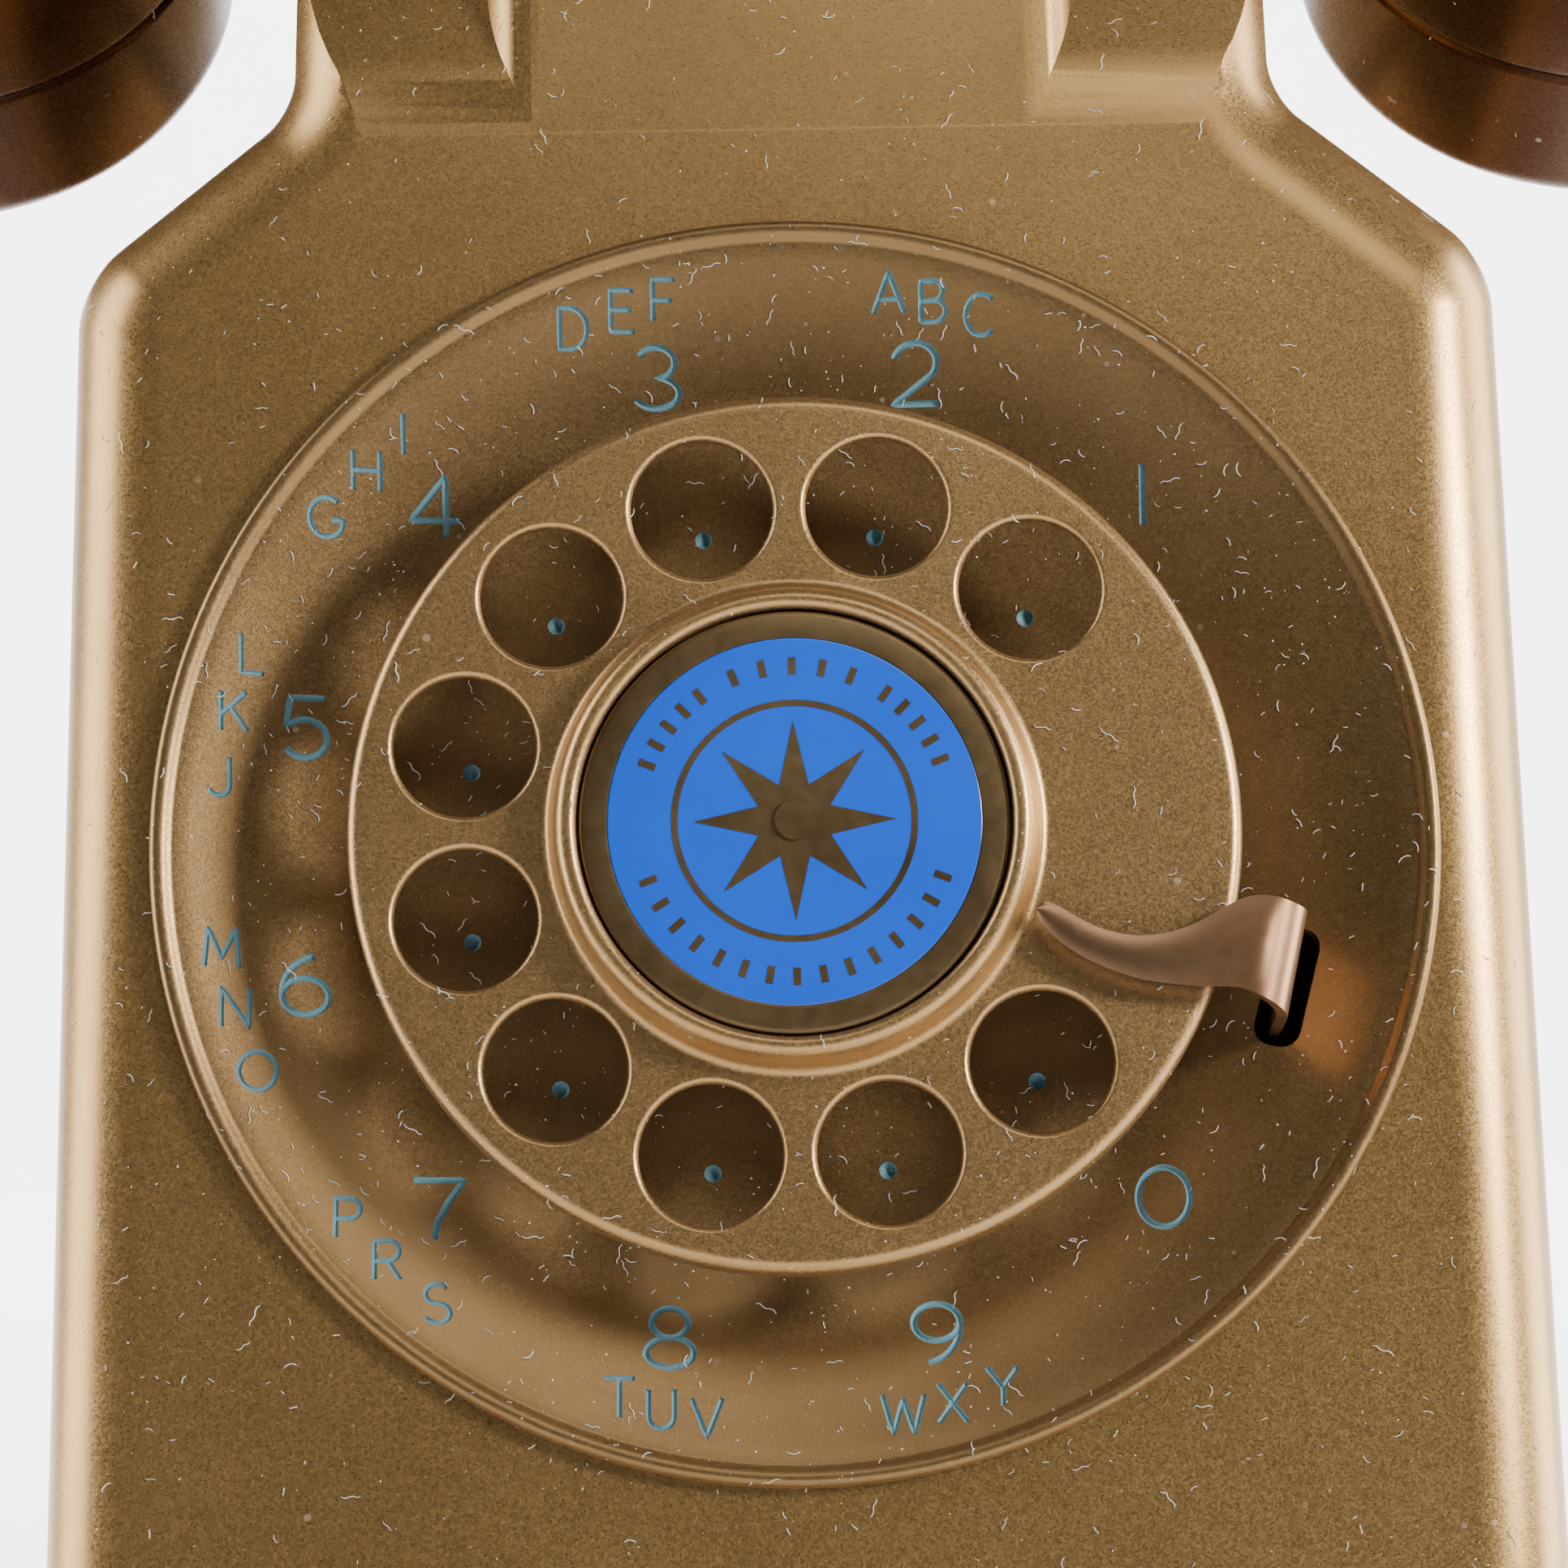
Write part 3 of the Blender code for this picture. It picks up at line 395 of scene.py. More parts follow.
cameraSettings = {
    "distance": 0.500,     # from the ring's rim plane, level with the dial
    "field": 0.1345,       # width taken in at that distance
    "raise": 0.00467,      # the camera's height over the dial's centre
    "aside": -0.00084,
    "roll": 1.0,           # degrees
}
skyColour = (0.86, 0.87, 0.90)
studioLights = [     # name, place, where it points, size, power
    ("keyLight", (0.54, -0.40, 0.20), (0.0, -0.09, 0.0), (0.13, 0.13), 7.0, (1.0, 0.98, 0.95)),
    ("topSoftbox", (0.12, -0.46, 0.46), (0.0, -0.09, 0.02), (0.34, 0.20), 0.8, (1.0, 0.98, 0.95)),
    ("leftSoftbox", (-0.50, -0.08, 0.04), (0.0, -0.06, 0.0), (0.30, 0.90), 7.0, (1.0, 0.99, 0.98)),
    ("rightSoftbox", (0.55, 0.06, 0.0), (0.0, -0.06, 0.0), (0.30, 0.90), 10.0, (1.0, 0.99, 0.98)),
    ("backLight", (0.0, 0.45, 0.95), (0.0, 1.3, 0.0), (1.2, 0.3), 95.0, (1.0, 1.0, 1.0))]


def setCamera():
    bpy.ops.object.camera_add()
    camera = bpy.context.object
    camera.name = "camera"
    camera.data.lens = 36 * cameraSettings["distance"] / cameraSettings["field"]
    camera.location = dialCentre + Vector((cameraSettings["aside"], -cameraSettings["distance"],
                                           cameraSettings["raise"]))
    camera.rotation_euler = (math.pi / 2, math.radians(cameraSettings["roll"]), 0)
    camera.data.clip_start = 0.01
    bpy.context.scene.camera = camera


def areaLight(name, spot, aim, size, power, colour=(1, 1, 1)):
    clearSelection()
    bpy.ops.object.light_add(type="AREA", location=spot)
    light = named(name)
    light.data.shape = "RECTANGLE"
    light.data.size, light.data.size_y = size
    light.data.energy = power
    light.data.color = colour
    light.rotation_euler = (Vector(aim) - Vector(spot)).to_track_quat("-Z", "Y").to_euler()


def lightStage():
    print("lights and floor")
    world = bpy.context.scene.world or bpy.data.worlds.new("world")
    bpy.context.scene.world = world
    world.use_nodes = True
    world.node_tree.nodes["Background"].inputs["Color"].default_value = (*skyColour, 1)
    world.node_tree.nodes["Background"].inputs["Strength"].default_value = 0.04
    for light in studioLights:
        areaLight(*light)
    clearSelection()
    bpy.ops.mesh.primitive_plane_add(size=6, location=(0, -1.7, cadBox[0].z - 0.02))
    floor = named("floor")
    selectEdges(floor, lambda a, b, turn: min(a.y, b.y) > 2.9)
    bpy.ops.mesh.extrude_region_move(TRANSFORM_OT_translate={"value": (0, 0, 3.0)})
    leaveEdit()
    bpy.ops.object.transform_apply(location=True)
    selectEdges(floor, lambda a, b, turn: min(a.y, b.y) > 1.2 and max(a.z, b.z) < 0)
    bpy.ops.mesh.bevel(offset=0.35, segments=12, affect="EDGES")
    leaveEdit()
    bpy.ops.object.shade_smooth()
    dress(floor, plainFinish("paleFloor", (0.82, 0.82, 0.83), (0.80, 0.80, 0.81), 0.7, 0.0, 60.0, 0.02))


# housing

housing = {
    "corners": [        # half outline seen from the front: x, z, and how far the corner is rounded
        (65.0, -97.0, 10.0), (62.9, 25.4, 4.4), (43.8, 40.7, 3.2), (42.5, 97.0, 9.5)],
    "wall": 2.8,
    "edge": 8.5,        # the soft edge round the leaning face
    "edgeSteps": 10,
    "plateau": 26.4,    # half width of the raised middle of the neck
    "ridge": 5.0,       # how softly its two upright edges are rounded
    "fold": 40.8,       # height at which the neck's sides fold back
    "trough": 72.1,
    "lip": 79.0,
}


def blockFromOutline(name, corners, low, high, inset=0.0, steps=8):
    # the front outline as a filled ring of corners, extruded from back to front
    points = [(x - inset, z + (inset if z < 0 else -inset * (0.4 if x > 43 else 1.0)), r) for x, z, r in corners]
    ringOf = points + [(-x, z, r) for x, z, r in reversed(points)]
    clearSelection()
    bpy.ops.mesh.primitive_circle_add(vertices=len(ringOf), radius=0.05, fill_type="NGON")
    block = named(name)
    for vertex, (x, z, r) in zip(block.data.vertices, ringOf):
        vertex.co = (x * mm, high, z * mm)
    bpy.ops.object.mode_set(mode="EDIT")
    bpy.ops.mesh.select_all(action="SELECT")
    bpy.ops.mesh.extrude_region_move(TRANSFORM_OT_translate={"value": (0, low - high, 0)})
    bpy.ops.mesh.select_all(action="SELECT")
    bpy.ops.mesh.normals_make_consistent(inside=False)
    leaveEdit()
    for x, z, r in points:
        hit = selectEdges(block, lambda a, b, turn: abs(a.y - b.y) > 0.01 and abs(abs(a.x) - x * mm) < 0.0002
                          and abs(a.z - z * mm) < 0.0002)
        if hit:
            bpy.ops.mesh.bevel(offset=r * mm, segments=steps, affect="EDGES", clamp_overlap=False)
        leaveEdit()
    return block


def faceDepth(z):
    # how far forward the leaning face is at a height
    return dialCentre.y + 1.5 * mm * math.cos(lean) + (z - dialCentre.z) * math.tan(lean)


def cutFlat(block, spot, normal):
    pick(block)
    bpy.ops.object.mode_set(mode="EDIT")
    bpy.ops.mesh.select_all(action="SELECT")
    bpy.ops.mesh.bisect(plane_co=spot, plane_no=normal, use_fill=True, clear_outer=True)
    leaveEdit()


def cutterFrom(name, points, low, high):
    # a bar whose section is in y and z, running in x from low to high
    clearSelection()
    bpy.ops.mesh.primitive_circle_add(vertices=len(points), radius=0.05, fill_type="NGON")
    bar = named(name)
    for vertex, (y, z) in zip(bar.data.vertices, points):
        vertex.co = (low, y, z)
    bpy.ops.object.mode_set(mode="EDIT")
    bpy.ops.mesh.select_all(action="SELECT")
    bpy.ops.mesh.extrude_region_move(TRANSFORM_OT_translate={"value": (high - low, 0, 0)})
    bpy.ops.mesh.select_all(action="SELECT")
    bpy.ops.mesh.normals_make_consistent(inside=False)
    leaveEdit()
    return bar


def foldLine(inset):
    # section of the folded-back neck: leaves the leaning face in a soft curve, then runs straight back
    low = (housing["fold"] - inset * 0.6) * mm
    start = low - 0.0045
    crease = Vector((faceDepth(low) + inset * mm, low))
    end = Vector((-0.0640 + inset * mm, (housing["trough"] - inset) * mm + 0.002))
    first = Vector((faceDepth(start) + inset * mm - 0.00003, start))
    second = crease + (end - crease).normalized() * 0.0045
    curve = []
    for k in range(9):
        share = k / 8
        a = first.lerp(crease, share)
        b = crease.lerp(second, share)
        curve.append(tuple(a.lerp(b, share)))
    return curve + [tuple(end)]


def carveCradle(block, inset):
    floor = (housing["trough"] - inset) * mm
    lip = (housing["lip"] - inset) * mm
    over = 0.13
    rear = -0.0450 + inset * mm
    front = -0.0722 - inset * mm
    line = foldLine(inset)
    cutWith(block, cutterFrom("fold", line + [(line[-1][0], over), (-0.15, over), (-0.15, line[0][1])], -0.1, 0.1))
    if not inset:
        softenFoldSides(block)
    half = (housing["plateau"] - inset) * mm
    low = (housing["fold"] - 14) * mm
    clearSelection()
    middle = cutterFrom("plateau", [(faceDepth(low) + (inset + 0.02) * mm, low), (-0.05, low), (-0.05, 0.09),
                                    (faceDepth(0.09) + (inset + 0.02) * mm, 0.09)], -half, half)
    if not inset:
        selectEdges(middle, lambda a, b, turn: abs(a.x - b.x) < 0.0001 and max(a.y, b.y) < -0.06
                    and abs(a.z - b.z) > 0.01)
        bpy.ops.mesh.bevel(offset=housing["ridge"] * mm, segments=10, affect="EDGES")
        leaveEdit()
    cutWith(block, middle, "UNION")
    trough = arc(front + 0.003, floor + 0.003, 0.003, 180, 270, 4)
    trough += arc(rear - 0.006, floor + 0.006, 0.006, 270, 360, 6)
    cutWith(block, cutterFrom("trough", [(front - 0.0016, lip)] + trough + [
        (rear, over), (-0.15, over), (-0.15, lip)], -0.1, 0.1))


def softenFoldSides(block):
    selectEdges(block, lambda a, b, turn: turn > 26 and min(a.z, b.z) > 0.0425 and max(a.y, b.y) < -0.02
                and min(abs(a.x), abs(b.x)) > 0.030)
    bpy.ops.mesh.bevel(offset=0.0016, segments=5, affect="EDGES", clamp_overlap=True)
    leaveEdit()


def carveHousing():
    shell = blockFromOutline("housingShell", housing["corners"], -0.16, 0.02, 0.0, 10)
    cutFlat(shell, (0, faceDepth(0.0), 0.0), tuple(dialOut))
    face = lambda p: abs(p.y - faceDepth(p.z)) < 0.0003
    selectEdges(shell, lambda a, b, turn: face(a) and face(b) and turn > 50)
    bpy.ops.mesh.bevel(offset=housing["edge"] * mm, segments=housing["edgeSteps"], affect="EDGES",
                       clamp_overlap=False)
    leaveEdit()
    carveCradle(shell, 0.0)
    selectEdges(shell, lambda a, b, turn: turn > 40 and min(a.z, b.z) > 0.066 and max(a.y, b.y) < 0.0)
    bpy.ops.mesh.bevel(offset=0.0012, segments=4, affect="EDGES", clamp_overlap=True)
    leaveEdit()
    hollow = blockFromOutline("hollow", housing["corners"], -0.16, 0.04, housing["wall"], 6)
    cutFlat(hollow, (0, faceDepth(0.0) + housing["wall"] * mm, 0.0), tuple(dialOut))
    inner = lambda p: abs(p.y - faceDepth(p.z) - housing["wall"] * mm) < 0.0003
    selectEdges(hollow, lambda a, b, turn: inner(a) and inner(b) and turn > 50)
    bpy.ops.mesh.bevel(offset=0.0060, segments=3, affect="EDGES", clamp_overlap=False)
    leaveEdit()
    carveCradle(hollow, housing["wall"])
    cutWith(shell, hollow)
    bpy.ops.mesh.primitive_cube_add(size=1, location=(0, 0.0495, 0), scale=(0.3, 0.1, 0.4))
    cutWith(shell, named("behind"))
    clearSelection()
    bpy.ops.mesh.primitive_cylinder_add(vertices=96, radius=0.0525, depth=0.04)
    cutWith(shell, putAt(named("bore"), dialPlace))
    for name, spot, size in (("hookSlot", (0, -0.0595, 0.0721), (0.0164, 0.0170, 0.02)),
                             ("volumeSlot", (0, -0.040, -0.097), (0.005, 0.020, 0.012))):
        clearSelection()
        bpy.ops.mesh.primitive_cube_add(size=1, location=spot, scale=size)
        cutWith(shell, named(name))
    for name, spot, radius in (("screwHoleLeft", (-0.045, -0.012), 0.0021), ("screwHoleRight", (0.045, -0.012), 0.0021),
                               ("cordHole", (-0.030, -0.030), 0.0044)):
        clearSelection()
        bpy.ops.mesh.primitive_cylinder_add(vertices=24, radius=radius, depth=0.02, location=(*spot, -0.097))
        cutWith(shell, named(name))
    return shell


def makeHousing():
    print("housing")
    shell = cutUntilSound(carveHousing, 1.75e-4, 1.95e-4)
    smoothShade(shell, 32)
    dress(shell, goldPaint)
    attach(shell, "root")
    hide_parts("housing")
    return shell


# number ring

ring = {
    "rim": 55.5, "plate": -6.0, "sides": 192,
    "digitRadius": 43.8, "digitTall": 5.2, "digitStroke": 0.31,
    "letterRadius": 50.0, "letterTall": 3.4, "letterStroke": 0.25,
    "dotRadius": 29.0,
}
ringTop = [      # radius and height of the dished face, from the bore out to the rim, in millimetres
    (13.0, -6.0), (30.0, -6.0), (34.0, -5.85), (37.0, -5.5), (40.0, -4.95), (43.0, -4.25), (46.0, -3.4),
    (48.5, -2.55), (50.5, -1.8), (52.0, -1.2), (53.0, -0.82), (53.45, -0.74), (53.75, -0.62), (54.05, -0.33),
    (54.35, -0.12), (54.7, -0.02), (55.0, -0.05), (55.25, -0.2), (55.42, -0.45), (55.5, -0.8)]
letters = {
    2: ((79.5, "A"), (75.0, "B"), (70.0, "C")), 3: ((112.0, "D"), (106.7, "E"), (102.4, "F")),
    4: ((143.6, "G"), (137.4, "H"), (132.2, "I")), 5: ((172.2, "J"), (165.5, "K"), (159.4, "L")),
    6: ((189.5, "M"), (195.7, "N"), (202.4, "O")), 7: ((219.5, "P"), (225.2, "R"), (231.7, "S")),
    8: ((251.8, "T"), (256.0, "U"), (260.5, "V")), 9: ((279.6, "W"), (284.5, "X"), (289.6, "Y"))}


def ringHeight(radius):
    for (r0, z0), (r1, z1) in zip(ringTop, ringTop[1:]):
        if r0 <= radius <= r1:
            return z0 + (z1 - z0) * (radius - r0) / (r1 - r0)
    return ringTop[-1][1] if radius > ringTop[-1][0] else ringTop[0][1]


def bow(cx, cy, rx, ry, start, end, steps=14):
    return [(cx + rx * math.cos(math.radians(start + (end - start) * k / steps)),
             cy + ry * math.sin(math.radians(start + (end - start) * k / steps))) for k in range(steps + 1)]


def strokesOf(sign):
    # single-line characters one unit tall, standing on y = 0 and centred on x = 0
    if sign == "6":
        return [bow(0.26, 0.36, 0.64, 0.64, 100, 180), bow(0, 0.31, 0.38, 0.31, 0, 360, 24)]
    if sign == "9":
        return [[(-x, 1 - y) for x, y in stroke] for stroke in strokesOf("6")]
    shapes = {
        "0": [bow(0, 0.5, 0.42, 0.5, 0, 360, 28)],
        "1": [[(0, 0), (0, 1)]],
        "2": [bow(0, 0.68, 0.36, 0.32, 168, -38) + [(-0.38, 0.0), (0.40, 0.0)]],
        "3": [bow(-0.02, 0.75, 0.31, 0.25, 155, -90) + bow(-0.02, 0.25, 0.38, 0.25, 90, -155)],
        "4": [[(0.18, 0.0), (0.18, 1.0), (-0.40, 0.27), (0.42, 0.27)]],
        "5": [[(0.32, 1.0), (-0.25, 1.0), (-0.31, 0.55)] + bow(-0.01, 0.32, 0.37, 0.32, 132, -148)],
        "7": [[(-0.40, 1.0), (0.42, 1.0), (0.16, 0.62), (0.0, 0.3), (-0.06, 0.0)]],
        "8": [bow(0, 0.755, 0.30, 0.245, -90, 270, 24), bow(0, 0.255, 0.39, 0.255, 90, 450, 24)],
        "A": [[(-0.40, 0), (0, 1), (0.40, 0)], [(-0.26, 0.34), (0.26, 0.34)]],
        "B": [[(-0.30, 0), (-0.30, 1), (0.04, 1)] + bow(0.04, 0.76, 0.22, 0.24, 90, -90) + [(-0.30, 0.52)],
              [(0.04, 0.52)] + bow(0.04, 0.26, 0.29, 0.26, 90, -90) + [(-0.30, 0.0)]],
        "C": [bow(0.04, 0.5, 0.42, 0.5, 48, 312)],
        "D": [[(-0.32, 0), (-0.32, 1), (-0.04, 1)] + bow(-0.04, 0.5, 0.42, 0.5, 90, -90) + [(-0.32, 0)]],
        "E": [[(0.30, 1), (-0.28, 1), (-0.28, 0), (0.32, 0)], [(-0.28, 0.53), (0.24, 0.53)]],
        "F": [[(0.32, 1), (-0.26, 1), (-0.26, 0)], [(-0.26, 0.50), (0.22, 0.50)]],
        "G": [bow(0.0, 0.5, 0.44, 0.5, 50, 325) + [(0.42, 0.44), (0.10, 0.44)]],
        "H": [[(-0.34, 0), (-0.34, 1)], [(0.34, 0), (0.34, 1)], [(-0.34, 0.5), (0.34, 0.5)]],
        "I": [[(0, 0), (0, 1)]],
        "J": [[(0.24, 1)] + bow(-0.02, 0.25, 0.26, 0.25, 0, -165)],
        "K": [[(-0.30, 0), (-0.30, 1)], [(0.34, 1), (-0.30, 0.40)], [(-0.06, 0.62), (0.36, 0)]],
        "L": [[(-0.26, 1), (-0.26, 0), (0.30, 0)]],
        "M": [[(-0.42, 0), (-0.34, 1), (0, 0.22), (0.34, 1), (0.42, 0)]],
        "N": [[(-0.34, 0), (-0.34, 1), (0.34, 0), (0.34, 1)]],
        "O": [bow(0, 0.5, 0.46, 0.5, 0, 360, 28)],
        "P": [[(-0.28, 0), (-0.28, 1), (0.06, 1)] + bow(0.06, 0.74, 0.26, 0.26, 90, -90) + [(-0.28, 0.48)]],
        "R": [[(-0.30, 0), (-0.30, 1), (0.04, 1)] + bow(0.04, 0.74, 0.26, 0.26, 90, -90) + [(-0.30, 0.48)],
              [(0.02, 0.48), (0.34, 0)]],
        "S": [bow(0, 0.75, 0.29, 0.25, 35, 270) + bow(0, 0.25, 0.33, 0.25, 90, -150)],
        "T": [[(-0.38, 1), (0.38, 1)], [(0, 1), (0, 0)]],
        "U": [[(-0.32, 1)] + bow(0, 0.33, 0.32, 0.33, 180, 360) + [(0.32, 1)]],
        "V": [[(-0.38, 1), (0, 0), (0.38, 1)]],
        "W": [[(-0.52, 1), (-0.26, 0), (0, 0.9), (0.26, 0), (0.52, 1)]],
        "X": [[(-0.36, 1), (0.36, 0)], [(0.36, 1), (-0.36, 0)]],
        "Y": [[(-0.38, 1), (0, 0.48), (0.38, 1)], [(0, 0.48), (0, 0)]],
    }
    return shapes[sign]


def fineLine(points, step=0.35):
    # extra points along a stroke, so that it can follow the dish
    fine = [points[0]]
    for a, b in zip(points, points[1:]):
        count = max(1, int(math.dist(a, b) / step))
        fine += [(a[0] + (b[0] - a[0]) * k / count, a[1] + (b[1] - a[1]) * k / count) for k in range(1, count + 1)]
    return fine


def engraver(sign, radius, angle, tall, stroke, sink=0.02):
    # a round-bottomed tool path for one character, laid on the dished face
    cx = radius * math.cos(math.radians(angle))
    cy = radius * math.sin(math.radians(angle))
    curve = bpy.data.curves.new("path" + sign, "CURVE")
    curve.dimensions = "3D"
    curve.bevel_depth = stroke * mm
    curve.bevel_resolution = 2
    curve.use_fill_caps = True
    for line in strokesOf(sign):
        closed = math.dist(line[0], line[-1]) < 0.001
        points = fineLine([(cx + x * tall, cy + (y - 0.5) * tall) for x, y in (line[:-1] if closed else line)])
        spline = curve.splines.new("POLY")
        spline.points.add(len(points) - 1)
        spline.use_cyclic_u = closed
        for dot, (x, y) in zip(spline.points, points):
            dot.co = (x * mm, y * mm, (ringHeight(math.hypot(x, y)) + sink) * mm, 1)
    path = bpy.data.objects.new("path" + sign, curve)
    bpy.context.scene.collection.objects.link(path)
    pick(path)
    bpy.ops.object.convert(target="MESH")
    path = bpy.context.object
    bpy.ops.object.mode_set(mode="EDIT")
    bpy.ops.mesh.select_all(action="SELECT")
    bpy.ops.mesh.remove_doubles(threshold=0.000002)
    bpy.ops.mesh.normals_make_consistent(inside=False)
    leaveEdit()
    return dress(path, inkFill)


def carveNumberRing():
    top = [(r * mm, z * mm) for r, z in ringTop]
    under = [(0.0555, -0.00115), (0.0535, -0.00125), (0.0523, -0.0020), (0.0520, -0.0040), (0.0455, -0.0056),
             (0.0370, -0.0076), (0.0130, -0.0076)]
    body = turnPiece("numberRing", top + under + top[:1], ring["sides"])
    dress(body, ringPaint, inkFill)
    tools = []
    for k in range(10):
        sign = str((k + 1) % 10)
        angle = {0: 45.0, 1: 75.0, 9: 315.0}.get(k, 45.0 + 30 * k)
        tools.append(engraver(sign, ring["digitRadius"], angle, ring["digitTall"], ring["digitStroke"]))
        for at, letter in letters.get(k + 1, ()):
            tools.append(engraver(letter, ring["letterRadius"], at, ring["letterTall"], ring["letterStroke"]))
    tool = joinPieces(*tools)
    cutWith(body, tool, crossing=True)
    pits = []
    for k in range(10):
        at = math.radians(45 + 30 * k)
        clearSelection()
        spot = (ring["dotRadius"] * mm * math.cos(at), ring["dotRadius"] * mm * math.sin(at), ring["plate"] * mm + 0.0002)
        bpy.ops.mesh.primitive_uv_sphere_add(segments=20, ring_count=12, radius=0.00078, location=spot)
        pits.append(dress(named("pit"), inkFill))
    cutWith(body, joinPieces(*pits))
    clearSelection()
    bpy.ops.mesh.primitive_cube_add(size=1, location=(0.0421, -0.0130, -0.004), rotation=(0, 0, math.radians(-15)),
                                    scale=(0.0040, 0.0106, 0.02))
    slot = named("stopSlot")
    bpy.ops.object.transform_apply(location=True, rotation=True, scale=True)
    selectEdges(slot, lambda a, b, turn: abs(a.z - b.z) > 0.01)
    bpy.ops.mesh.bevel(offset=0.0016, segments=4, affect="EDGES")
    leaveEdit()
    cutWith(body, slot)
    return body


def makeNumberRing():
    print("number ring")
    body = cutUntilSound(carveNumberRing, 1.60e-5, 1.68e-5)
    putAt(body, dialPlace)
    smoothShade(body, 32)
    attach(body, "root")
    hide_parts("number_ring")
    return body


# finger wheel

wheel = {"top": 5.0, "low": 2.6, "rim": 38.1, "orbit": 29.0, "hole": 6.1, "flare": 0.62, "hubInner": 18.5,
         "hubCrest": 19.25, "hubFoot": 20.75, "hubRise": 3.3, "sides": 192}


def makeFingerWheel():
    print("finger wheel")
    top = wheel["top"]
    low = wheel["low"]
    rim = wheel["rim"]
    crest = top + wheel["hubRise"]
    inner = wheel["hubInner"]
    middle = wheel["hubCrest"]
    foot = wheel["hubFoot"]
    profile = [(4.5, top + 0.1), (inner, top + 0.1), (inner, crest - 0.8)]
    profile += arc(inner + 0.75, crest - 0.75, 0.75, 176, 96, 6)
    profile += [(middle + 0.25, crest - 0.02), (middle + 0.6, crest - 0.2), (middle + 0.9, crest - 0.55),
                (middle + 1.12, crest - 1.1), (middle + 1.28, crest - 1.8), (foot, top + 0.72),
                (foot + 0.22, top + 0.34), (foot + 0.52, top + 0.1)]
    profile += [(foot + 0.95, top), (rim - 1.5, top)]
    profile += arc(rim - 1.15, top - 1.15, 1.15, 88, 0, 8)
    profile += [(rim, low - 0.4), (rim - 0.3, low - 0.8), (rim - 1.0, low - 0.8), (rim - 1.4, low), (4.5, low),
                (4.5, top + 0.1)]
    body = turnPiece("fingerWheel", [(r * mm, z * mm) for r, z in profile], wheel["sides"])
    flare = wheel["flare"]
    hole = wheel["hole"]
    edge = [(hole + flare, top + 2.0)]
    edge += arc(hole + flare, top - flare + 0.01, flare, 82, 180, 8)[:]
    edge += arc(hole + flare, low + flare * 0.5, flare * 0.5, 180, 278, 5)
    edge += [(hole + flare, low - 2.0)]
    edge = [(0.0, top + 2.0)] + edge + [(0.0, low - 2.0)]
    cutters = []
    for k in range(10):
        at = math.radians(45 + 30 * k)
        cutter = turnPiece("holeTool", [(r * mm, z * mm) for r, z in edge], 64)
        cutter.location = (wheel["orbit"] * mm * math.cos(at), wheel["orbit"] * mm * math.sin(at), 0)
        cutters.append(cutter)
    cutWith(body, joinPieces(*cutters))
    putAt(body, dialPlace)
    smoothShade(body, 32)
    dress(body, wheelPaint)
    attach(body, "dial")
    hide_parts("finger_wheel")
    return body


medallion = {
    "top": 7.6, "inner": 15.9, "outer": 18.35,
    "proud": 0.05,                 # the metal lines stand this far over the enamel
    "bars": [(68, 112, 5), (22, 54, 5), (126, 158, 5), (202, 338, 15)],
    "barOrbit": 13.4, "barSize": (1.5, 0.62),
    "star": (8.6, 3.3), "starPoints": 8, "hoop": (9.9, 10.45), "button": 1.7,
}


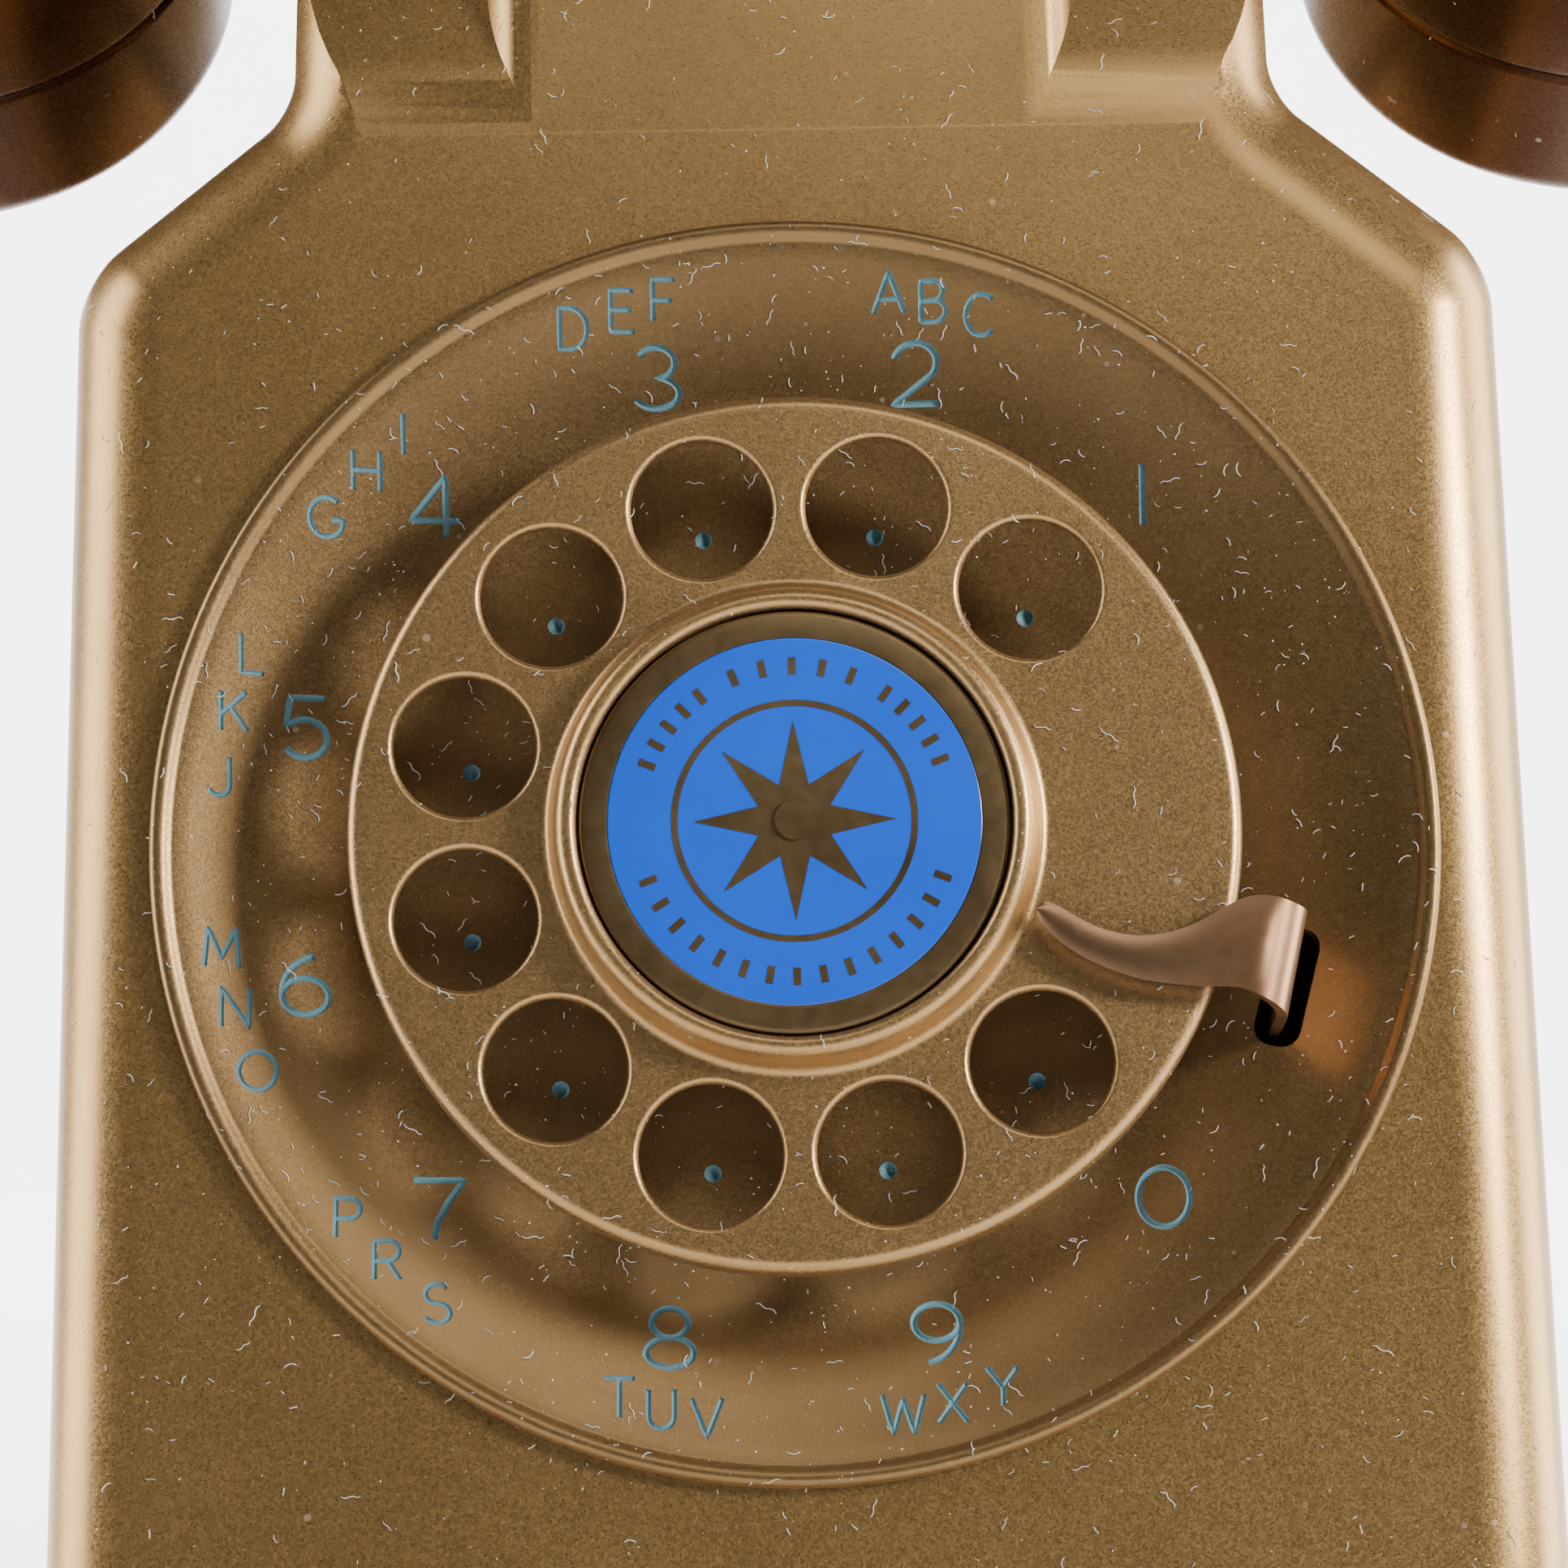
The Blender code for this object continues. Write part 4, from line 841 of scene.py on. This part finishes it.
def makeMedallion():
    # a dark metal plate filled with enamel; its lines are a plain eight-pointed star in a hoop of bars
    print("medallion")
    top = medallion["top"]
    inner = medallion["inner"]
    outer = medallion["outer"]
    rim = [(inner, top - 0.05), (inner + 0.2, top), (outer - 0.6, top), (outer - 0.15, top - 0.25),
           (outer, top - 0.7), (outer, top - 2.0), (inner, top - 2.0), (inner, top - 0.05)]
    band = turnPiece("medallionBand", [(r * mm, z * mm) for r, z in rim], 160)
    high = top + medallion["proud"]
    near, far = medallion["hoop"]
    hoop = turnPiece("hoop", [(r * mm, z * mm) for r, z in [
        (near, high), (far, high), (far, top - 0.3), (near, top - 0.3), (near, high)]], 96)
    lines = [hoop]
    tip, root = medallion["star"]
    clearSelection()
    bpy.ops.mesh.primitive_circle_add(vertices=2 * medallion["starPoints"], radius=root * mm, fill_type="NGON",
                                      location=(0, 0, high * mm), rotation=(0, 0, math.pi / 2))
    star = named("star")
    bpy.ops.object.transform_apply(location=True, rotation=True)
    for vertex in star.data.vertices:
        if vertex.index % 2 == 0:
            vertex.co.x *= tip / root
            vertex.co.y *= tip / root
    bpy.ops.object.mode_set(mode="EDIT")
    bpy.ops.mesh.select_all(action="SELECT")
    bpy.ops.mesh.extrude_region_move(TRANSFORM_OT_translate={"value": (0, 0, -0.3 * mm)})
    bpy.ops.mesh.select_all(action="SELECT")
    bpy.ops.mesh.normals_make_consistent(inside=False)
    leaveEdit()
    bpy.ops.mesh.primitive_cylinder_add(vertices=40, radius=medallion["button"] * mm, depth=0.4 * mm,
                                        location=(0, 0, (high + 0.02) * mm))
    lines += [star, named("button")]
    long, wide = medallion["barSize"]
    bpy.ops.mesh.primitive_cube_add(size=1, location=(0, 0, top * mm), scale=(long * mm, wide * mm, 0.1 * mm))
    first = named("bar")
    bpy.ops.object.transform_apply(location=True, scale=True)
    for start, end, count in medallion["bars"]:
        for k in range(count):
            at = math.radians(start + (end - start) * k / (count - 1))
            bar = first.copy()
            bar.data = first.data.copy()
            bpy.context.scene.collection.objects.link(bar)
            reach = medallion["barOrbit"] * mm
            bar.data.transform(Matrix.Rotation(at, 4, "Z") @ Matrix.Translation((reach, 0, 0)))
            lines.append(bar)
    bpy.data.objects.remove(first, do_unlink=True)
    smoothShade(band, 32)
    joinPieces(band, *lines)
    putAt(band, dialPlace)
    dress(band, darkMetal)
    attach(band, "dial")
    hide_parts("medallion_ring")
    disc = turnPiece("enamelDisc", [(r * mm, z * mm) for r, z in [
        (0.0, top + 0.02), (inner - 0.2, top + 0.02), (inner - 0.05, top - 0.06), (inner - 0.04, top - 1.6),
        (0.0, top - 1.6)]], 160)
    putAt(disc, dialPlace)
    smoothShade(disc, 32)
    dress(disc, blueEnamel)
    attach(disc, "dial")
    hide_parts("medallion_disc")


# finger stop

stop = {
    # upper and lower edge of the blade at each station, from the tip to the start of the bend
    "stations": [((20.4, -7.6), (20.2, -8.3)), ((21.0, -7.2), (20.6, -9.1)), ((22.6, -7.9), (22.0, -10.7)),
                 ((24.4, -9.2), (24.0, -12.1)), ((26.5, -10.0), (26.5, -13.3)), ((29.0, -10.5), (28.9, -14.1)),
                 ((31.6, -10.1), (31.3, -14.5)), ((33.7, -9.4), (33.4, -14.7)), ((35.8, -8.2), (35.2, -14.8)),
                 ((37.4, -7.3), (36.6, -14.8)), ((39.0, -7.0), (37.5, -15.0)), ((40.3, -7.1), (38.3, -15.3))],
    "outward": (0.956, -0.292),
    "bend": 3.2,
    "height": 7.3,
    "thick": 0.95,
    "foot": -9.0,
}


def makeFingerStop():
    print("finger stop")
    rows = [(upper, lower, stop["height"]) for upper, lower in stop["stations"]]
    ox, oy = stop["outward"]
    (ux, uy), (lx, ly), top = rows[-1]
    for k in range(1, 8):
        turn = math.radians(90 * k / 7)
        run = stop["bend"] * math.sin(turn)
        rows.append(((ux + ox * run, uy + oy * run), (lx + ox * run, ly + oy * run - 0.12 * k),
                     top - stop["bend"] * (1 - math.cos(turn))))
    (ux, uy), (lx, ly), low = rows[-1]
    for k in range(1, 7):
        rows.append(((ux, uy), (lx, ly), low + (stop["foot"] - low) * k / 6))
    across = 6
    clearSelection()
    bpy.ops.mesh.primitive_grid_add(x_subdivisions=len(rows) - 1, y_subdivisions=across, size=1)
    blade = named("fingerStop")
    for vertex in blade.data.vertices:
        along = round((vertex.co.x + 0.5) * (len(rows) - 1))
        share = vertex.co.y + 0.5
        (ax, ay), (bx, by), z = rows[along]
        crown = 0.25 * (1 - (2 * share - 1) ** 2) if along < len(stop["stations"]) else 0.0
        vertex.co = ((bx + (ax - bx) * share) * mm, (by + (ay - by) * share) * mm, (z + crown) * mm)
    addModifier(blade, "SOLIDIFY", thickness=stop["thick"] * mm, offset=-1.0)
    addModifier(blade, "BEVEL", width=0.0003, segments=2, limit_method="ANGLE", angle_limit=math.radians(50))
    addModifier(blade, "SUBSURF", levels=2, render_levels=2)
    applyModifiers(blade)
    pick(blade)
    bpy.ops.object.mode_set(mode="EDIT")
    bpy.ops.mesh.select_all(action="SELECT")
    bpy.ops.mesh.normals_make_consistent(inside=False)
    leaveEdit()
    putAt(blade, dialPlace)
    smoothShade(blade, 60, weighted=False)
    dress(blade, stopMetal)
    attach(blade, "root")
    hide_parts("finger_stop")
    return blade


# handset

handset = {
    "cup": 81.2, "radius": 28.5, "capTall": 18.0, "leanDown": 33.0, "face": (-0.0013, -0.0183, 0.0584),
    # x, height over the cap faces, half size along the sweep plane, half size across, tilt of the section
    "stations": [(81.2, 18.35, 28.4, 28.4, 0), (81.2, 22.0, 28.4, 28.4, 0), (81.1, 27.0, 28.2, 28.1, 2),
                 (80.6, 33.5, 27.0, 26.4, 9), (79.3, 40.0, 24.6, 23.6, 22), (76.0, 45.6, 21.2, 20.4, 38),
                 (70.0, 49.6, 17.6, 17.6, 56), (61.5, 51.4, 14.4, 15.6, 74), (52.0, 51.9, 12.9, 14.6, 84),
                 (38.0, 52.2, 12.1, 14.1, 88), (20.0, 52.4, 12.0, 14.0, 90), (0.0, 52.4, 12.0, 14.0, 90)],
}
handsetPlace = Matrix.Translation(handset["face"]) @ Matrix.Rotation(
    math.pi / 2 - math.radians(handset["leanDown"]), 4, "X")


def sweepHalf(side):
    # half of the handle: one ring, extruded, turned and resized from the cup's rim to the middle
    stations = handset["stations"]
    x, z, across, deep, tilt = stations[0]
    clearSelection()
    bpy.ops.mesh.primitive_circle_add(vertices=40, radius=1 * mm, location=(x * mm, 0, z * mm), fill_type="NOTHING")
    half = named("handleHalf")
    bpy.ops.object.transform_apply(location=True)
    rings = []
    for x, z, across, deep, tilt in stations:
        turn = Matrix.Rotation(math.radians(tilt), 4, "Y")
        rings.append([Vector((x, 0, z)) + turn @ Vector((across * math.cos(2 * math.pi * k / 40),
                                                        deep * math.sin(2 * math.pi * k / 40), 0))
                      for k in range(40)])
    bpy.ops.object.mode_set(mode="EDIT")
    bpy.ops.mesh.select_all(action="SELECT")
    for k in range(len(stations)):
        if k:
            bpy.ops.mesh.extrude_region_move()
        work = bmesh.from_edit_mesh(half.data)
        work.verts.ensure_lookup_table()
        chosen = [v for v in work.verts if v.select]
        for vertex, spot in zip(chosen, rings[k]):
            vertex.co = Vector((side * spot.x, spot.y, spot.z)) * mm
        bmesh.update_edit_mesh(half.data)
    leaveEdit()
    return half


def makeHandset():
    print("handset")
    left = sweepHalf(-1)
    right = sweepHalf(1)
    grip = joinPieces(right, left)
    grip.name = "handsetGrip"
    pick(grip)
    bpy.ops.object.mode_set(mode="EDIT")
    bpy.ops.mesh.select_all(action="SELECT")
    bpy.ops.mesh.remove_doubles(threshold=0.00002)
    bpy.ops.mesh.normals_make_consistent(inside=False)
    bpy.ops.mesh.select_all(action="DESELECT")
    leaveEdit()
    # the cup's floor and threaded neck close each open end
    for side in (-1, 1):
        selectEdges(grip, lambda a, b, turn: abs(a.z - 0.01835) < 0.00005
                    and abs(b.z - 0.01835) < 0.00005 and a.x * side > 0)
        spot = (side * handset["cup"] * mm, 0, 0)
        for radius, height in ((25.2, 18.35), (25.2, 5.0), (23.4, 5.0), (23.4, 23.5)):
            work = bmesh.from_edit_mesh(grip.data)
            chosen = [v for v in work.verts if v.select]
            now = max((v.co - Vector((spot[0], 0, v.co.z))).length for v in chosen)
            level = chosen[0].co.z
            bpy.ops.mesh.extrude_region_move(TRANSFORM_OT_translate={"value": (0, 0, height * mm - level)})
            bpy.ops.transform.resize(value=(radius * mm / now, radius * mm / now, 1),
                                     center_override=(spot[0], 0, height * mm))
        bpy.ops.mesh.edge_face_add()
        bpy.ops.mesh.select_all(action="SELECT")
        bpy.ops.mesh.normals_make_consistent(inside=False)
        leaveEdit()
    addModifier(grip, "BEVEL", width=0.0004, segments=2, limit_method="ANGLE", angle_limit=math.radians(50))
    addModifier(grip, "SUBSURF", levels=1, render_levels=1)
    applyModifiers(grip)
    bpy.ops.mesh.primitive_cylinder_add(vertices=32, radius=0.0031, depth=0.02,
                                        location=(-0.0812 - 0.0265, 0, 0.0229), rotation=(0, math.pi / 2, 0))
    cutWith(grip, named("glandHole"))
    putAt(grip, handsetPlace)
    smoothShade(grip, 40, weighted=False)
    dress(grip, handsetPaint)
    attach(grip, "handset")
    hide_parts("handset_handle")
    caps = []
    for side, name, rings in ((-1, "transmitter", ((0, 1), (6.0, 6), (12.0, 12), (17.5, 18))),
                              (1, "receiver", ((0, 1), (4.2, 6), (8.4, 12)))):
        caps.append(makeCap(side, name, rings))
    return [grip] + caps


def makeCap(side, name, rings):
    tall = handset["capTall"]
    radius = handset["radius"]
    dish = -1.0 if side < 0 else 0.9
    profile = [(25.5, tall), (radius - 0.5, tall), (radius - 0.12, tall - 0.35), (radius, tall - 0.8), (radius, 4.0)]
    profile += arc(radius - 3.2, 3.2, 3.2, 0, -80, 7)
    profile += [(22.0, dish * 0.15), (16.5, dish * 0.45), (9.0, dish * 0.8), (0.0, dish)]
    inside = [(0.0, dish + 2.0), (17.0, 2.3), (23.6, 2.8), (25.1, 3.6), (25.5, 5.0)]
    top = turnPiece(name + "Cap", [(r * mm, z * mm) for r, z in inside + profile], 112)
    cutters = []
    for orbit, count in rings:
        for k in range(count):
            at = 2 * math.pi * k / count
            clearSelection()
            bpy.ops.mesh.primitive_cylinder_add(vertices=20, radius=0.0009, depth=0.012, location=(
                orbit * mm * math.cos(at), orbit * mm * math.sin(at), 0.001))
            cutters.append(named("soundHole"))
    cutWith(top, joinPieces(*cutters))
    putAt(top, handsetPlace @ Matrix.Translation((side * handset["cup"] * mm, 0, 0)))
    smoothShade(top, 35)
    dress(top, handsetPaint)
    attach(top, "handset")
    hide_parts(name + "_cap")
    return top


# lint

lint = {
    "seed": 7,
    "field": (-0.072, 0.072, -0.094, 0.058),      # the front's extent in x and z
    "tries": 5200,
    "thick": 0.036,
    "fibres": [(0.5, 20), (0.8, 70), (0.65, 150), (1.1, 95), (0.35, 10), (1.7, 170)],    # length, total bend
    "specks": [0.05, 0.075, 0.10],
}


def lintShapes():
    shapes = []
    for long, bend in lint["fibres"]:
        curve = bpy.data.curves.new("fibre", "CURVE")
        curve.dimensions = "3D"
        curve.bevel_depth = lint["thick"] * mm
        curve.bevel_resolution = 0
        curve.use_fill_caps = True
        spline = curve.splines.new("POLY")
        spline.points.add(6)
        x = y = 0.0
        for k, dot in enumerate(spline.points):
            dot.co = (x * mm, y * mm, 0.03 * mm * (1 + (k % 3)), 1)
            dot.radius = 0.55 if k in (0, 6) else 1.0
            turn = math.radians(bend) * (k / 6 - 0.5) * (1 if bend < 120 else math.sin(k))
            x += long / 6 * math.cos(turn)
            y += long / 6 * math.sin(turn)
        fibre = bpy.data.objects.new("fibre", curve)
        bpy.context.scene.collection.objects.link(fibre)
        pick(fibre)
        bpy.ops.object.convert(target="MESH")
        shapes.append(bpy.context.object)
    for radius in lint["specks"]:
        clearSelection()
        bpy.ops.mesh.primitive_ico_sphere_add(subdivisions=1, radius=radius * mm, scale=(1, 0.7, 0.5))
        shapes.append(named("speck"))
        bpy.ops.object.transform_apply(scale=True)
    return shapes


def scatterLint(targets):
    # fibres and specks dropped on whatever faces the front, one joined piece for each moving body
    print("lint")
    rng = random.Random(lint["seed"])
    shapes = lintShapes()
    fibres = len(lint["fibres"])
    x0, x1, z0, z1 = lint["field"]
    laid = {body: [] for piece, body, share in targets}
    for k in range(lint["tries"]):
        start = Vector((rng.uniform(x0, x1), -0.25, rng.uniform(z0, z1)))
        best = None
        for piece, body, share in targets:
            hit, spot, normal, index = piece.ray_cast(start, Vector((0, 1, 0)))
            if hit and (best is None or spot.y < best[0].y):
                best = (spot, normal, body, share)
        luck = rng.random()
        if best is None or luck > best[3] or best[1].y > -0.25:
            continue
        spot, normal, body, share = best
        shape = shapes[rng.randrange(fibres) if rng.random() < 0.42 else rng.randrange(fibres, len(shapes))]
        turn = normal.to_track_quat("Z", "Y").to_matrix().to_4x4() @ Matrix.Rotation(rng.uniform(0, 6.28), 4, "Z")
        size = rng.uniform(0.55, 1.25)
        place = Matrix.Translation(spot + normal * 0.00003) @ turn @ Matrix.Diagonal((size, size, size, 1))
        laid[body].append((shape, place))
    for body, spots in laid.items():
        tufts = []
        for shape, place in spots:
            tuft = shape.copy()
            tuft.data = shape.data.copy()
            tuft.data.transform(place)
            bpy.context.scene.collection.objects.link(tuft)
            tufts.append(tuft)
        if tufts:
            heap = joinPieces(*tufts)
            heap.name = heap.data.name = body + "Lint"
            dress(heap, lintWhite)
            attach(heap, body)
    for shape in shapes:
        bpy.data.objects.remove(shape, do_unlink=True)


# carried-over pieces

carriedOver = {
    "agedBrass": ["main_gear", "intermediate_gear", "governor_cup", "governor_weight_left", "governor_weight_right",
                  "gong_left", "gong_right", "terminal_screw_1", "terminal_screw_2", "terminal_screw_3",
                  "terminal_screw_4"],
    "copperWire": ["ringer_coil", "pulse_contact_lower", "pulse_contact_upper", "hook_contact_1", "hook_contact_2",
                   "hook_contact_3"],
    "blackPlastic": ["network_block", "terminal_strip", "pulse_cam", "volume_wheel", "hook_lever"],
    "darkRubber": ["housing_cord_gland", "handset_cord_gland"],
}


def dressCarriedOver():
    print("finishes on the carried-over pieces")
    chosen = {name: finishes[finish] for finish, names in carriedOver.items() for name in names}
    for name, piece in frame["nodes"].items():
        dress(piece, chosen.get(name, zincSteel))


setCamera()
lightStage()
dressCarriedOver()
shell = makeHousing()
numberRing = makeNumberRing()
fingerWheel = makeFingerWheel()
makeMedallion()
makeFingerStop()
handsetParts = makeHandset()
scatterLint([(shell, "root", 0.42), (numberRing, "root", 0.85), (fingerWheel, "dial", 0.5)]
            + [(piece, "handset", 0.2) for piece in handsetParts])

bpy.context.view_layer.update()
